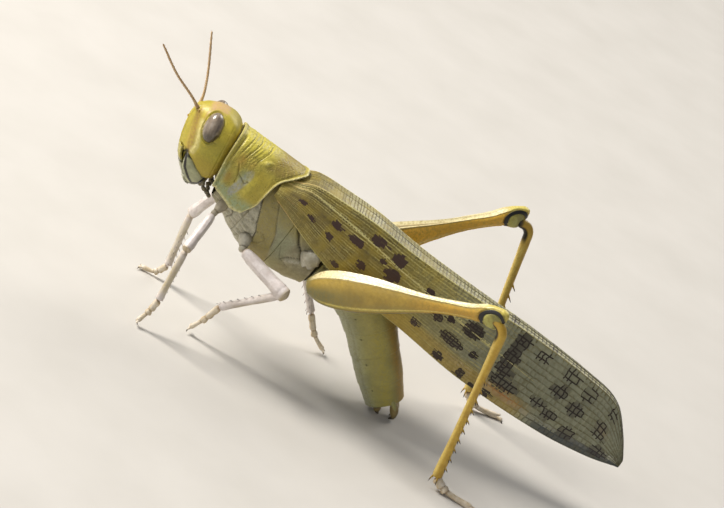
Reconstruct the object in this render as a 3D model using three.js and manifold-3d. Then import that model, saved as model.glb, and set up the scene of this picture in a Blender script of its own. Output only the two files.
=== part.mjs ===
// A mature female desert locust, life size, in millimetres.
// It faces -Y with its left side on +X. Z is up, and the feet stand at z = 0.
import * as THREE from "three";
import { mergeVertices } from "three/addons/utils/BufferGeometryUtils.js";
import Module from "manifold-3d";

// Driving dimensions.
const gap = 0.1; // clearance between neighbouring plates
const footprintMiddle = [0.7, 3.9]; // middle of the whole insect, seen from the collar's own origin
const collarFront = [0, -20.2, 26.4]; // front edge of the pronotum on the midline
const bodyPitch = 10; // degrees that the thorax and wings slope down to the rear
const shellThickness = 0.6; // pronotum plate
const wingThickness = 0.5;
const pronotumLength = 9.85;
const pronotumHalfWidth = 4.2;
const lobeDepth = 8.3; // from the pronotum's top to the bottom of its side lobes
const headHalfWidth = 3.45;
const eyeRadii = [1.42, 1.3, 1.98];
const wingRoot = 7.6; // distance behind the collar's front edge, along the body
const wingEnd = 63.8;

// Colours of the living animal.
const lemon = { color: 0xd8c23a, roughness: 0.5, metalness: 0 };
const olive = { color: 0xa8a050, roughness: 0.55, metalness: 0 };
const chalk = { color: 0xcfc9b4, roughness: 0.6, metalness: 0 };
const amber = { color: 0xdca62e, roughness: 0.45, metalness: 0 };
const grape = { color: 0x84706c, roughness: 0.2, metalness: 0 };
const slate = { color: 0x6b6a55, roughness: 0.45, metalness: 0 };
const straw = { color: 0xb9a95c, roughness: 0.4, metalness: 0 };
const tan = { color: 0xc08a4a, roughness: 0.5, metalness: 0 };
const smoke = { color: 0x9a988a, roughness: 0.3, metalness: 0 };

const wasm = await Module();
wasm.setup();

const locust = new THREE.Group();
const level = new THREE.Group(); // legs, head and abdomen: upright axes
const trunk = new THREE.Group(); // thorax and wings: +Y along the back, z = 0 at the collar's top
level.position.set(-footprintMiddle[0], -footprintMiddle[1], 0);
trunk.position.set(...collarFront);
trunk.rotation.x = -THREE.MathUtils.degToRad(bodyPitch);
level.add(trunk);
locust.add(level);

function addPiece(parent, name, shape, finish) {
  const piece = new THREE.Mesh(shape, new THREE.MeshStandardMaterial(finish));
  piece.name = name;
  parent.add(piece);
  return piece;
}

// A piece on the left side and its mirror image on the right.
function addPair(parent, name, shape, finish) {
  addPiece(parent, `${name}_left`, shape, finish);
  addPiece(parent, `${name}_right`, shape, finish).scale.x = -1;
}

// A smooth curve through [position, value] points, as a function of position.
function profile(points) {
  const last = points.length - 1;
  const slopes = points.map((point, i) => {
    const before = points[Math.max(i - 1, 0)];
    const after = points[Math.min(i + 1, last)];
    return (after[1] - before[1]) / (after[0] - before[0]);
  });
  return (at) => {
    const place = Math.min(Math.max(at, points[0][0]), points[last][0]);
    const i = Math.min(Math.max(points.findIndex((point) => point[0] > place) - 1, 0), last - 1);
    const from = place < points[last][0] ? i : last - 1;
    const span = points[from + 1][0] - points[from][0];
    const s = (place - points[from][0]) / span;
    const blend = s * s * (3 - 2 * s);
    return (
      points[from][1] * (1 - blend) +
      points[from + 1][1] * blend +
      s * (1 - s) * span * ((1 - s) * slopes[from] - s * slopes[from + 1])
    );
  };
}

// A curve through values that are spread evenly from 0 to 1.
const evenly = (values) => profile(values.map((value, i) => [i / (values.length - 1), value]));

const rounded = (wave, power) => Math.sign(wave) * Math.abs(wave) ** power;

// A closed drum whose points are placed by a function of the way along it, the angle round it,
// and the reach: 1 on its skin and 0 in the middle of either end.
function drum(sides, steps, place) {
  const shape = new THREE.CylinderGeometry(1, 1, 1, sides, steps);
  const points = shape.attributes.position;
  for (let i = 0; i < points.count; i += 1) {
    const x = points.getX(i);
    const z = points.getZ(i);
    const spot = place(0.5 - points.getY(i), Math.atan2(x, z), Math.hypot(x, z));
    points.setXYZ(i, spot.x, spot.y, spot.z);
  }
  return shape;
}

// A limb along a curved path. Its deep axis is the part of `up` that is square to the path.
// What would reach below the ground is pressed flat on it.
function limb({ path, deep, wide = deep, up = [0, 0, 1], sides = 8, steps = 6 }) {
  const stops = path.map((spot) => new THREE.Vector3(...spot));
  const line = new THREE.CatmullRomCurve3(stops, false, "centripetal");
  const halfDeep = evenly(deep);
  const halfWide = evenly(wide);
  const lift = new THREE.Vector3(...up);
  return drum(sides, steps, (t, angle, reach) => {
    const along = line.getTangent(t);
    const side = new THREE.Vector3().crossVectors(lift, along).normalize();
    const top = new THREE.Vector3().crossVectors(along, side);
    const spot = line.getPoint(t);
    spot.addScaledVector(side, reach * halfWide(t) * Math.sin(angle));
    spot.addScaledVector(top, reach * halfDeep(t) * Math.cos(angle));
    spot.z = Math.max(spot.z, 0);
    return spot;
  });
}

// A plate of even thickness from a flat board: `place` takes the way across, the way along and
// the depth below the outer face.
function plate(across, along, place) {
  const shape = new THREE.BoxGeometry(1, 1, 1, across, along, 1);
  const points = shape.attributes.position;
  for (let i = 0; i < points.count; i += 1) {
    const spot = place(points.getX(i) + 0.5, points.getY(i) + 0.5, 0.5 - points.getZ(i));
    points.setXYZ(i, spot.x, spot.y, spot.z);
  }
  return shape;
}

function solidOf(shape) {
  const bare = shape.clone();
  bare.deleteAttribute("normal");
  bare.deleteAttribute("uv");
  const merged = mergeVertices(bare);
  return new wasm.Manifold(
    new wasm.Mesh({
      numProp: 3,
      vertProperties: merged.attributes.position.array,
      triVerts: new Uint32Array(merged.index.array),
    }),
  );
}

function shapeOf(solid) {
  const mesh = solid.getMesh();
  const shape = new THREE.BufferGeometry();
  shape.setAttribute("position", new THREE.BufferAttribute(mesh.vertProperties, 3));
  shape.setIndex(new THREE.BufferAttribute(mesh.triVerts, 1));
  return shape;
}

// A shape with others cut out of it.
function less(shape, ...cutters) {
  return shapeOf(cutters.reduce((left, cutter) => left.subtract(solidOf(cutter)), solidOf(shape)));
}

// ---- Head, in upright axes ----

const crown = 27.35;
const chin = 18.7;
const eyeMiddle = [2.55, -23.7, 25.2];
const eyeLean = 2; // degrees that the top of the eye leans forward
const eyeSlant = 12; // degrees that it leans in towards the vertex

function eyeShape(grow) {
  const shape = new THREE.SphereGeometry(1, 12, 9);
  shape.rotateX(Math.PI / 2);
  shape.scale(eyeRadii[0] + grow, eyeRadii[1] + grow, eyeRadii[2] + grow);
  shape.rotateX(THREE.MathUtils.degToRad(eyeLean));
  shape.rotateY(-THREE.MathUtils.degToRad(eyeSlant));
  shape.translate(...eyeMiddle);
  return shape;
}

function headShape(grow = 0) {
  const face = profile([
    [chin, -25.3], [20.8, -26.35], [23.9, -26.8], [25.3, -26.7], [26.5, -26.2], [27.1, -25.3], [crown, -24.4],
  ]);
  const nape = profile([
    [chin, -21.1], [20.5, -20.45], [22, -20.35], [24.8, -20.38], [25.6, -20.42], [26.2, -20.6], [26.6, -21.0],
    [27.1, -21.75], [crown, -23.0],
  ]);
  const halfWidth = profile([
    [chin, 2.75], [20.5, 3.35], [22, headHalfWidth], [24, 3.35], [25.6, 2.9], [26.6, 2.3],
    [27.1, 1.6], [crown, 0.9],
  ]);
  return drum(20, 12, (t, angle, reach) => {
    const z = crown - (crown - chin) * (0.5 - 0.5 * Math.cos(Math.PI * t));
    const middle = face(z) * 0.4 + nape(z) * 0.6;
    const cos = rounded(Math.cos(angle), 0.85);
    const edge = cos > 0 ? face(z) - grow : nape(z) + grow;
    const taper = 1 - 0.22 * Math.max(cos, 0) ** 2; // the face is narrower than the cheeks
    return new THREE.Vector3(
      reach * (halfWidth(z) + grow) * taper * rounded(Math.sin(angle), 0.85),
      middle + reach * Math.abs(cos) * (edge - middle),
      z,
    );
  });
}

// A small curved plate that hangs from the face, from `top` to `foot`, both [y, z].
function lipShape(top, foot, halfWidths, halfThickness) {
  const bend = [top[0] * 0.6 + foot[0] * 0.4, top[1] * 0.4 + foot[1] * 0.6];
  const line = new THREE.QuadraticBezierCurve3(
    new THREE.Vector3(0, ...top),
    new THREE.Vector3(0, ...bend),
    new THREE.Vector3(0, ...foot),
  );
  const halfWidth = evenly(halfWidths);
  return drum(12, 4, (t, angle, reach) => {
    const along = line.getTangent(t);
    const out = new THREE.Vector3(0, along.z, -along.y);
    const spot = line.getPoint(t);
    spot.x = reach * halfWidth(t) * rounded(Math.sin(angle), 0.7);
    return spot.addScaledVector(out, reach * halfThickness * rounded(Math.cos(angle), 0.7));
  });
}

function addHead() {
  const sockets = shapeOf(solidOf(eyeShape(gap)));
  const farSockets = shapeOf(solidOf(eyeShape(gap)).mirror([1, 0, 0]));
  addPiece(level, "head", less(headShape(), sockets, farSockets), lemon);
  addPair(level, "eye", eyeShape(0), grape);
  addPiece(level, "clypeus", lipShape([-24.85, 18.55], [-24.2, 17.6], [1.5, 1.7, 1.6], 0.4), chalk);
  addPiece(level, "labrum", lipShape([-24.15, 17.5], [-23.4, 16.65], [1.6, 1.6, 1.1], 0.36), chalk);
  addPair(level, "mandible", limb({
    path: [[1.45, -23.1, 18.6], [1.5, -23.0, 17.7], [1.2, -22.8, 16.8]],
    deep: [0.95, 0.85, 0.45],
    wide: [0.9, 0.85, 0.65],
    up: [0, -1, 0],
    steps: 4,
  }), straw);
  addPiece(level, "labium", limb({
    path: [[0, -21.7, 18.6], [0, -21.65, 17.8], [0, -21.9, 17.0]],
    deep: [0.4, 0.4, 0.3],
    wide: [1.5, 1.4, 1.0],
    up: [0, -1, 0],
    steps: 4,
  }), slate);
  addPair(level, "maxillary_palp", limb({
    path: [[2.35, -21.7, 18.4], [2.6, -21.3, 17.7], [2.5, -20.6, 17.3], [2.2, -20.1, 16.8]],
    deep: [0.3, 0.26, 0.3],
    up: [1, 0, 0],
    sides: 6,
    steps: 5,
  }), slate);
  addPair(level, "labial_palp", limb({
    path: [[1.2, -21.1, 18.0], [1.4, -20.7, 17.4], [1.3, -20.6, 16.7]],
    deep: [0.28, 0.26, 0.28],
    up: [1, 0, 0],
    sides: 6,
    steps: 4,
  }), slate);
}

// The antennae leave the face between the eyes. The left one points forward, the right one is raised.
function addAntennae() {
  const taper = [0.36, 0.28, 0.24, 0.22, 0.2];
  const left = [[0.9, -26.95, 26.4], [1.2, -27.7, 27.0], [2.6, -30.4, 29.3], [5, -33.6, 32.8]];
  const right = [[-0.9, -26.8, 26.5], [-1.25, -26.6, 27.4], [-2.1, -27.1, 29.6], [-3, -28.9, 34.3]];
  const sizes = { deep: taper, up: [1, 0, 0], sides: 6, steps: 12 };
  addPiece(level, "antenna_left", limb({ path: left, ...sizes }), tan);
  addPiece(level, "antenna_right", limb({ path: right, ...sizes }), tan);
}

// ---- Thorax, in the trunk's axes ----

// The pronotum is a saddle. `turn` is the angle round it, nought on the midline, and `way` runs
// from its front margin to its rear margin.
const saddleTurn = THREE.MathUtils.degToRad(110);
const frontMargin = profile([[0, 0], [0.96, 0.1], [1.2, 0.25], [1.73, 0.87], [saddleTurn, 1.1]]);
const rearMargin = profile([
  [0, pronotumLength], [0.14, 9.83], [0.34, 9.35], [0.56, 8.6], [0.83, 7.5], [1.05, 7.05], [1.37, 6.8],
  [1.56, 6.65], [1.86, 5.7], [saddleTurn, 5.4],
]);

function saddleSpot(wholeTurn, way, sink) {
  // the front corners of the lobes are cut away
  const lobe = Math.max(Math.abs(wholeTurn) - 1.4, 0) / (saddleTurn - 1.4);
  const turn = wholeTurn * (1 - 0.1 * lobe * Math.max(1 - way / 0.7, 0));
  const size = Math.abs(turn);
  const drop = (1 - Math.cos(turn)) / (1 - Math.cos(saddleTurn));
  return new THREE.Vector3(
    (pronotumHalfWidth - sink) * rounded(Math.sin(turn), 0.7),
    frontMargin(size) + way * (rearMargin(size) - frontMargin(size)),
    -sink - (lobeDepth - sink) * drop,
  );
}

function pronotumShape() {
  return plate(16, 7, (across, way, sink) => {
    const turn = (2 * across - 1) * saddleTurn;
    return saddleSpot(turn, way, sink * shellThickness);
  });
}

const backHeight = profile([
  [1.9, -0.85], [6.3, -0.95], [6.5, -3.6], [8.2, -3.5], [10, -2.6], [12, -1.6], [17.3, -1.5],
]);
const bellyHeight = profile([
  [1.9, -9.6], [4.5, -10.8], [6.5, -11.9], [8.5, -12.6], [12, -12.8], [15, -12.7], [17.3, -12.1],
]);
const flankWidth = profile([[1.9, 3.1], [6.3, 3.35], [6.5, 3.75], [12, 3.8], [17.3, 3.6]]);

// One ring of the thorax, between two distances behind the collar's front edge.
function thoraxShape(from, to, steps, grow = 0) {
  return drum(18, steps, (t, angle, reach) => {
    const at = from + t * (to - from);
    const top = backHeight(at) + grow;
    const foot = bellyHeight(at) - grow;
    const middle = top * 0.4 + foot * 0.6;
    const cos = rounded(Math.cos(angle), 0.9);
    const edge = cos > 0 ? top : foot;
    return new THREE.Vector3(
      -reach * (flankWidth(at) + grow) * rounded(Math.sin(angle), 0.85),
      at,
      middle + reach * Math.abs(cos) * (edge - middle),
    );
  });
}

function addThorax() {
  const collar = limb({
    path: [[0, -21, 22.6], [0, -18.5, 22.6]], deep: [2.5, 2.7], wide: [2.3, 2.5], sides: 12, steps: 2,
  });
  const chest = thoraxShape(1.9, 6.3, 3, gap).translate(0, -gap, 0).applyMatrix4(trunk.matrix);
  addPiece(level, "neck", less(collar, headShape(gap), chest), olive);
  addPiece(trunk, "pronotum", pronotumShape(), lemon);
  addPiece(trunk, "prothorax", thoraxShape(1.9, 6.3, 3), chalk);
  addPiece(trunk, "mesothorax", thoraxShape(6.3 + gap, 11.9, 4), chalk);
  addPiece(trunk, "metathorax", thoraxShape(11.9 + gap, 17.3, 4), chalk);
}

// ---- Wings, in the trunk's axes ----

const ridgeHeight = profile([
  [wingRoot, -2.8], [8.6, -2.0], [9.6, -1.25], [11.2, -0.2], [15, 0.25], [20, 0.4], [26, 0.05], [31, 0],
  [38, 0.15], [44, 0.35], [54, 0.05], [58.5, -0.8], [61.9, -3.9], [wingEnd, -6.3],
]);
const costaHeight = profile([
  [wingRoot, -3.6], [18.7, -7.05], [30, -8.0], [40, -9.2], [52.4, -9.15], [59.7, -8.2], [wingEnd, -7.1],
]);
const ridgeOut = profile([[wingRoot, 2.4], [20, 2.1], [30, 1.7], [42, 1.25], [54, 0.95], [wingEnd, 0.8]]);
const flankOut = profile([
  [wingRoot, 4.2], [16, 4.45], [24, 4.45], [30, 4.1], [41, 3.0], [52, 2.1], [wingEnd, 1.2],
]);
const dorsalRise = 0.15; // of the folded wings' midline over their ridges
const foldShare = 0.22; // share of the wing's width that lies flat on the back

// Outer face of the left tegmen: `across` runs from the midline over the ridge to the costal edge.
function tegmenLine(across, at) {
  const ridge = [ridgeOut(at), ridgeHeight(at)];
  if (across < foldShare) {
    const s = across / foldShare;
    return [gap / 2 + s * (ridge[0] - gap / 2), ridge[1] + (1 - s) * dorsalRise];
  }
  const s = (across - foldShare) / (1 - foldShare);
  const bulge = Math.sin(Math.min(s * 1.15, 1) * (Math.PI / 2));
  return [ridge[0] + bulge * (flankOut(at) - ridge[0]), ridge[1] + s * (costaHeight(at) - ridge[1])];
}

// A point sunk below that face, square to the wing's cross-section.
function tegmenSpot(across, at, sink) {
  const step = 0.02;
  const before = tegmenLine(Math.max(across - step, 0), at);
  const after = tegmenLine(Math.min(across + step, 1), at);
  const spot = tegmenLine(across, at);
  const [dx, dz] = [after[0] - before[0], after[1] - before[1]];
  const size = Math.hypot(dx, dz);
  const inward = across < step ? [0, -1] : [dz / size, -dx / size];
  return new THREE.Vector3(spot[0] + inward[0] * sink, at, spot[1] + inward[1] * sink);
}

function tegmenShape() {
  return plate(8, 17, (u, way, sink) => {
    const across = u < 0.25 ? u * 4 * foldShare : foldShare + ((u - 0.25) / 0.75) * (1 - foldShare);
    const at = wingRoot + (wingEnd - wingRoot) * (1 - (1 - way) ** 1.2);
    return tegmenSpot(across, at, sink * wingThickness);
  });
}

// The hind wing is a pleated fan, folded to a narrow blade inside the tegmen.
function hindwingShape() {
  const from = 13;
  const to = 59;
  const upper = profile([[from, 0.36], [30, 0.34], [to, 0.45]]);
  const lower = profile([[from, 0.5], [24, 0.55], [34, 0.8], [50, 0.8], [to, 0.65]]);
  const depth = wingThickness + gap;
  return plate(3, 14, (u, way, sink) => {
    const at = from + way * (to - from);
    return tegmenSpot(upper(at) + u * (lower(at) - upper(at)), at, depth + sink * wingThickness);
  });
}

function addWings() {
  addPair(trunk, "tegmen", tegmenShape(), olive);
  addPair(trunk, "hindwing", hindwingShape(), smoke);
}

// ---- Abdomen, in upright axes: it bends down and its tip meets the ground ----

const abdomenStops = [
  [-3.88, 16.56], [-2.4, 16.2], [0.3, 14.9], [2.8, 13.0], [4.9, 10.7], [6.9, 8.0], [9.3, 4.8], [11.5, 1.9],
].map(([y, z]) => new THREE.Vector3(0, y, z));
const abdomenLine = new THREE.CatmullRomCurve3(abdomenStops, false, "centripetal");
const abdomenDeep = evenly([5.0, 4.7, 4.25, 3.85, 3.45, 3.2, 3.0, 2.5]);
const abdomenWide = evenly([3.45, 3.5, 3.45, 3.35, 3.2, 3.05, 2.8, 2.3]);
const abdomenEnds = [0, 0.1, 0.21, 0.33, 0.46, 0.59, 0.73, 0.87, 1]; // where the segments part

// Segments taper a little to their rear, so that each one's edge shows over the next.
function segmentShape(number, grow = 0) {
  const cut = gap / abdomenLine.getLength();
  const from = abdomenEnds[number - 1] + (number > 1 ? cut : 0);
  const to = abdomenEnds[number];
  const upward = new THREE.Vector3(0, 0.6, 0.8);
  return drum(18, 2, (t, angle, reach) => {
    const way = from + t * (to - from);
    const along = abdomenLine.getTangent(way);
    const side = new THREE.Vector3().crossVectors(upward, along).normalize();
    const top = new THREE.Vector3().crossVectors(along, side);
    const swell = reach * (1 - 0.03 * (1 - t));
    const spot = abdomenLine.getPoint(way);
    spot.addScaledVector(side, swell * (abdomenWide(way) + grow) * Math.sin(angle));
    spot.addScaledVector(top, swell * (abdomenDeep(way) + grow) * Math.cos(angle));
    return spot;
  });
}

function addAbdomen() {
  for (let number = 1; number < abdomenEnds.length; number += 1) {
    addPiece(level, `abdomen_${number}`, segmentShape(number), number > 3 ? straw : olive);
  }
  addPiece(level, "ovipositor_upper", limb({
    path: [[0, 12.75, 2.2], [0, 13.2, 1.2], [0, 13.1, 0]],
    deep: [0.95, 0.8, 0.45],
    wide: [1.5, 1.2, 0.6],
    up: [0, 0.8, 0.6],
    steps: 4,
  }), slate);
  addPiece(level, "ovipositor_lower", limb({
    path: [[0, 10.9, 0.85], [0, 11.35, 0.35], [0, 11.6, 0]],
    deep: [0.75, 0.65, 0.45],
    wide: [1.3, 1.1, 0.6],
    up: [0, 0.8, 0.6],
    steps: 4,
  }), slate);
}

// ---- Legs, in upright axes ----

// The joints of each leg, from the hip to the claws.
const joints = {
  foreleg_left: {
    root: [2.3, -18.0, 17.2], hip: [3.75, -18.75, 15.8], knee: [8.0, -19.94, 11.6],
    ankle: [8.2, -20.06, 4.1], sole: [8.5, -20.6, 2.0], claw: [8.9, -21.4, 0.35],
  },
  foreleg_right: {
    root: [-2.3, -18.0, 17.2], hip: [-3.75, -18.75, 15.8], knee: [-6.5, -20.6, 10.3],
    ankle: [-6.9, -20.2, 2.2], sole: [-7.0, -21.3, 0.7], claw: [-7.3, -23.6, 0.35],
  },
  midleg_left: {
    root: [3.2, -14.0, 14.9], hip: [4.7, -13.7, 13.6], knee: [8.2, -6.9, 12.1],
    ankle: [5.1, -12.86, 5.5], sole: [4.5, -13.9, 2.6], claw: [3.9, -15.1, 0.35],
  },
  midleg_right: {
    root: [-3.2, -14.0, 14.9], hip: [-4.7, -13.7, 13.6], knee: [-9.4, -6.4, 12.0],
    ankle: [-8.6, -0.9, 4.4], sole: [-8.4, 0.9, 1.9], claw: [-8.2, 3.2, 0.35],
  },
  hindleg_left: {
    root: [3.5, -5.75, 16.4], hip: [4.85, -4.7, 13.1], knee: [16.3, 16.9, 25.9], shin: [16.3, 17.2, 24.1],
    ankle: [13.1, 19.75, 1.5], sole: [13.5, 21.6, 0.6], claw: [14.4, 26.6, 0.35],
  },
  hindleg_right: {
    root: [-3.5, -5.75, 16.4], hip: [-4.85, -4.7, 13.4], knee: [-13.2, 17.7, 28.6], shin: [-13.2, 18.9, 26.6],
    ankle: [-13.4, 22.6, 2.3], sole: [-13.9, 24.5, 0.8], claw: [-15.2, 29.1, 0.35],
  },
};

const point = (list) => new THREE.Vector3(...list);
const between = (from, to, share) => point(from).lerp(point(to), share).toArray();
const lineUp = (from, to) => point(to).sub(point(from)).toArray();

// A straight piece of leg that starts and ends short of its joints.
function boneShape(from, to, startShort, endShort, sizes) {
  const length = point(from).distanceTo(point(to));
  return limb({
    path: [between(from, to, startShort / length), between(from, to, 1 - endShort / length)],
    ...sizes,
  });
}

function tarsusShape({ ankle, sole, claw }, size) {
  return limb({
    path: [between(ankle, sole, 0.2), sole, between(sole, claw, 0.55), claw],
    deep: [size, size * 0.95, size * 0.85, size * 0.65],
    up: [1, 0, 0],
    sides: 8,
    steps: 6,
  });
}

function addCoxa(name, leg, sizes) {
  const shape = limb({ path: [leg.root, between(leg.root, leg.hip, 0.62)], ...sizes });
  const ring = thoraxShape(1.9, 17.3, 8, gap);
  ring.applyMatrix4(trunk.matrix);
  addPiece(level, `${name}_coxa`, less(shape, ring, segmentShape(1, gap)), chalk);
}

function addWalkingLeg(name) {
  const leg = joints[name];
  const out = lineUp(leg.ankle, leg.knee);
  addCoxa(name, leg, { deep: [1.2, 1.2, 0.7], wide: [1.1, 1.1, 0.65], up: [0, 1, 0], steps: 4 });
  addPiece(level, `${name}_femur`, boneShape(leg.hip, leg.knee, 0.3, 0.1, {
    deep: [0.6, 0.85, 0.85, 0.75, 0.78, 0.55], wide: [0.55, 0.75, 0.75, 0.65, 0.65, 0.5], up: out, steps: 6,
  }), chalk);
  addPiece(level, `${name}_tibia`, boneShape(leg.knee, leg.ankle, 0.95, 0.1, {
    deep: [0.45, 0.52, 0.5, 0.5, 0.55], up: [1, 0, 0], steps: 5,
  }), straw);
  addPiece(level, `${name}_tarsus`, tarsusShape(leg, 0.42), chalk);
}

function addHindLeg(name) {
  const leg = joints[name];
  const out = lineUp(leg.ankle, leg.knee);
  addCoxa(name, leg, { deep: [1.3, 1.5, 0.85], wide: [1.2, 1.4, 0.8], up: [0, 1, 0], steps: 4 });
  addPiece(level, `${name}_femur`, boneShape(leg.hip, leg.knee, 0.3, -0.1, {
    deep: [0.9, 2.1, 2.5, 2.45, 2.2, 1.8, 1.35, 1.02, 0.88, 1.0, 1.4, 0.7],
    wide: [0.7, 1.35, 1.5, 1.45, 1.3, 1.1, 0.85, 0.7, 0.75, 0.9, 0.85, 0.5],
    up: out, sides: 12, steps: 14,
  }), amber);
  addPiece(level, `${name}_tibia`, boneShape(leg.shin, leg.ankle, 0, 0.1, {
    deep: [0.6, 0.55, 0.52, 0.5, 0.5, 0.55, 0.65], up: [0, 1, 0], steps: 10,
  }), amber);
  addPiece(level, `${name}_tarsus`, tarsusShape(leg, 0.5), amber);
}

trunk.updateMatrix();
addHead();
addAntennae();
addThorax();
addWings();
addAbdomen();
for (const name of Object.keys(joints)) {
  if (name.startsWith("hind")) addHindLeg(name);
  else addWalkingLeg(name);
}

export default locust;
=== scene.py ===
import random
from math import atan2, copysign, cos, degrees, hypot, pi, radians, sin, tau

import bpy
from mathutils import Matrix, Vector, noise


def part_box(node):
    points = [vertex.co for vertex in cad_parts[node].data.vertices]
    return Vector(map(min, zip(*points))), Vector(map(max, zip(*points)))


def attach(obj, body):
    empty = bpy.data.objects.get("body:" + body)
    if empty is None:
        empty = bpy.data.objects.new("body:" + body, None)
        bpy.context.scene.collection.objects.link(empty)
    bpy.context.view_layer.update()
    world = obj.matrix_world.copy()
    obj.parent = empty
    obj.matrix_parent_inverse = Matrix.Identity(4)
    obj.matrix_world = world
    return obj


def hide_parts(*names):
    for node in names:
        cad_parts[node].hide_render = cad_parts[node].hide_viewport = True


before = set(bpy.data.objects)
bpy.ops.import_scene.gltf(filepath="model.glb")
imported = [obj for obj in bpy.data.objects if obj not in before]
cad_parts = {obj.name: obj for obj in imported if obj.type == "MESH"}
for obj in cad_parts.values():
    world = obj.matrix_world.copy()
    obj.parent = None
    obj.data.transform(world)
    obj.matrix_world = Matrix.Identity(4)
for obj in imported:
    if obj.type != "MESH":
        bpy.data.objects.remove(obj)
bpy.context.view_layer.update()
print("frame loaded with", len(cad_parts), "nodes")

# Pieces are modelled in millimetres and shrunk to metres when they are finished.
# The animal faces -Y with its left side on +X.
millimetre = 0.001
crispAngle = radians(40)  # edges sharper than this stay crisp
collar = {"lip": (0, -20.59, 26.4), "top": (0, -20.2, 26.4), "pitch": 10}  # of the pronotum's front edge
collarLow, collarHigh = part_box("pronotum")
lipPoint = Vector(((collarLow.x + collarHigh.x) / 2, collarLow.y, collarHigh.z))
levelPlace = Matrix.Translation(lipPoint) @ Matrix.Scale(millimetre, 4)
levelPlace = levelPlace @ Matrix.Translation(-Vector(collar["lip"]))
slope = Matrix.Rotation(-radians(collar["pitch"]), 4, "X")
trunkPlace = levelPlace @ Matrix.Translation(collar["top"]) @ slope  # +Y along the back, z = 0 at its top


def curve(points):
    # a smooth value through [position, value] points
    last = len(points) - 1
    slopes = []
    for i in range(last + 1):
        before, after = points[max(i - 1, 0)], points[min(i + 1, last)]
        slopes.append((after[1] - before[1]) / (after[0] - before[0]))

    def value(at):
        at = min(max(at, points[0][0]), points[last][0])
        i = next((k for k in range(last) if at < points[k + 1][0]), last - 1)
        span = points[i + 1][0] - points[i][0]
        s = (at - points[i][0]) / span
        blend = s * s * (3 - 2 * s)
        bend = s * (1 - s) * span * ((1 - s) * slopes[i] - s * slopes[i + 1])
        return points[i][1] * (1 - blend) + points[i + 1][1] * blend + bend

    return value


def evenly(values):
    return curve([(i / (len(values) - 1), value) for i, value in enumerate(values)])


def rounded(wave, power):
    return copysign(abs(wave) ** power, wave)


def ramp(low, high, at):
    share = min(max((at - low) / (high - low), 0.0), 1.0)
    return share * share * (3 - 2 * share)


def hump(at, middle, halfWidth):
    # 1 in the middle, 0 beyond the half width
    return 1 - ramp(0, halfWidth, abs(at - middle))


def nearLine(spot, line):
    # distance of a flat spot from a line through flat points
    best = 1e9
    spot = Vector(spot)
    for start, end in zip(line, line[1:]):
        start, end = Vector(start), Vector(end)
        run = end - start
        share = min(max((spot - start).dot(run) / run.length_squared, 0), 1)
        best = min(best, (spot - start - run * share).length)
    return best


def wander(spot, size, seed=0.0):
    # slow noise between -1 and 1, `size` in millimetres
    return noise.noise(Vector(spot) / size + Vector((seed, seed, seed)))


def smoothPath(stops):
    # a centripetal curve through the stops, as a function of the share of the way
    stops = [Vector(stop) for stop in stops]
    ends = [stops[0] * 2 - stops[1], *stops, stops[-1] * 2 - stops[-2]]

    def spot(share):
        place = min(max(share, 0), 1) * (len(stops) - 1)
        i = min(int(place), len(stops) - 2)
        s = place - i
        p0, p1, p2, p3 = ends[i:i + 4]
        d0, d1, d2 = ((b - a).length ** 0.5 for a, b in ((p0, p1), (p1, p2), (p2, p3)))
        t1 = ((p1 - p0) / d0 - (p2 - p0) / (d0 + d1) + (p2 - p1) / d1) * d1
        t2 = ((p2 - p1) / d1 - (p3 - p1) / (d1 + d2) + (p3 - p2) / d2) * d1
        return p1 + s * t1 + s * s * (3 * (p2 - p1) - 2 * t1 - t2) + s ** 3 * (2 * (p1 - p2) + t1 + t2)

    return spot


def limbPlace(path, up, length=10):
    # turns a spot on a straight limb (across, deep, millimetres along) into one round a path
    lift = Vector(up)

    def place(across, deep, far):
        share = min(max(far / length, 0), 1)
        low, high = max(share - 0.01, 0), min(share + 0.01, 1)
        along = (path(high) - path(low)).normalized()
        side = lift.cross(along).normalized()
        return path(share) + side * across + along.cross(side) * deep + along * (far - share * length)

    return place


def clearSelection():
    bpy.ops.object.select_all(action="DESELECT")


def pick(piece):
    clearSelection()
    piece.select_set(True)
    bpy.context.view_layer.objects.active = piece


def closeUp(piece):
    # merges what meets and turns every face outwards
    pick(piece)
    bpy.ops.object.mode_set(mode="EDIT")
    bpy.ops.mesh.select_all(action="SELECT")
    bpy.ops.mesh.remove_doubles(threshold=0.001)
    bpy.ops.mesh.normals_make_consistent(inside=False)
    bpy.ops.object.mode_set(mode="OBJECT")


def flatGrid(columns, rows, size=2):
    clearSelection()
    bpy.ops.mesh.primitive_grid_add(x_subdivisions=columns, y_subdivisions=rows, size=size)
    return bpy.context.object


def ball(segments, rings, radius):
    clearSelection()
    bpy.ops.mesh.primitive_uv_sphere_add(segments=segments, ring_count=rings, radius=radius)
    return bpy.context.object


def reshape(piece, rule):
    for vertex in piece.data.vertices:
        vertex.co = rule(vertex.co)


def rollGrid(around, along, spot):
    # a grid rolled into a closed skin: spot(angle, share) gives its points
    piece = flatGrid(around, along, 1)
    reshape(piece, lambda s: spot((s.x + 0.5) * tau, s.y + 0.5))
    closeUp(piece)
    return piece


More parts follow.
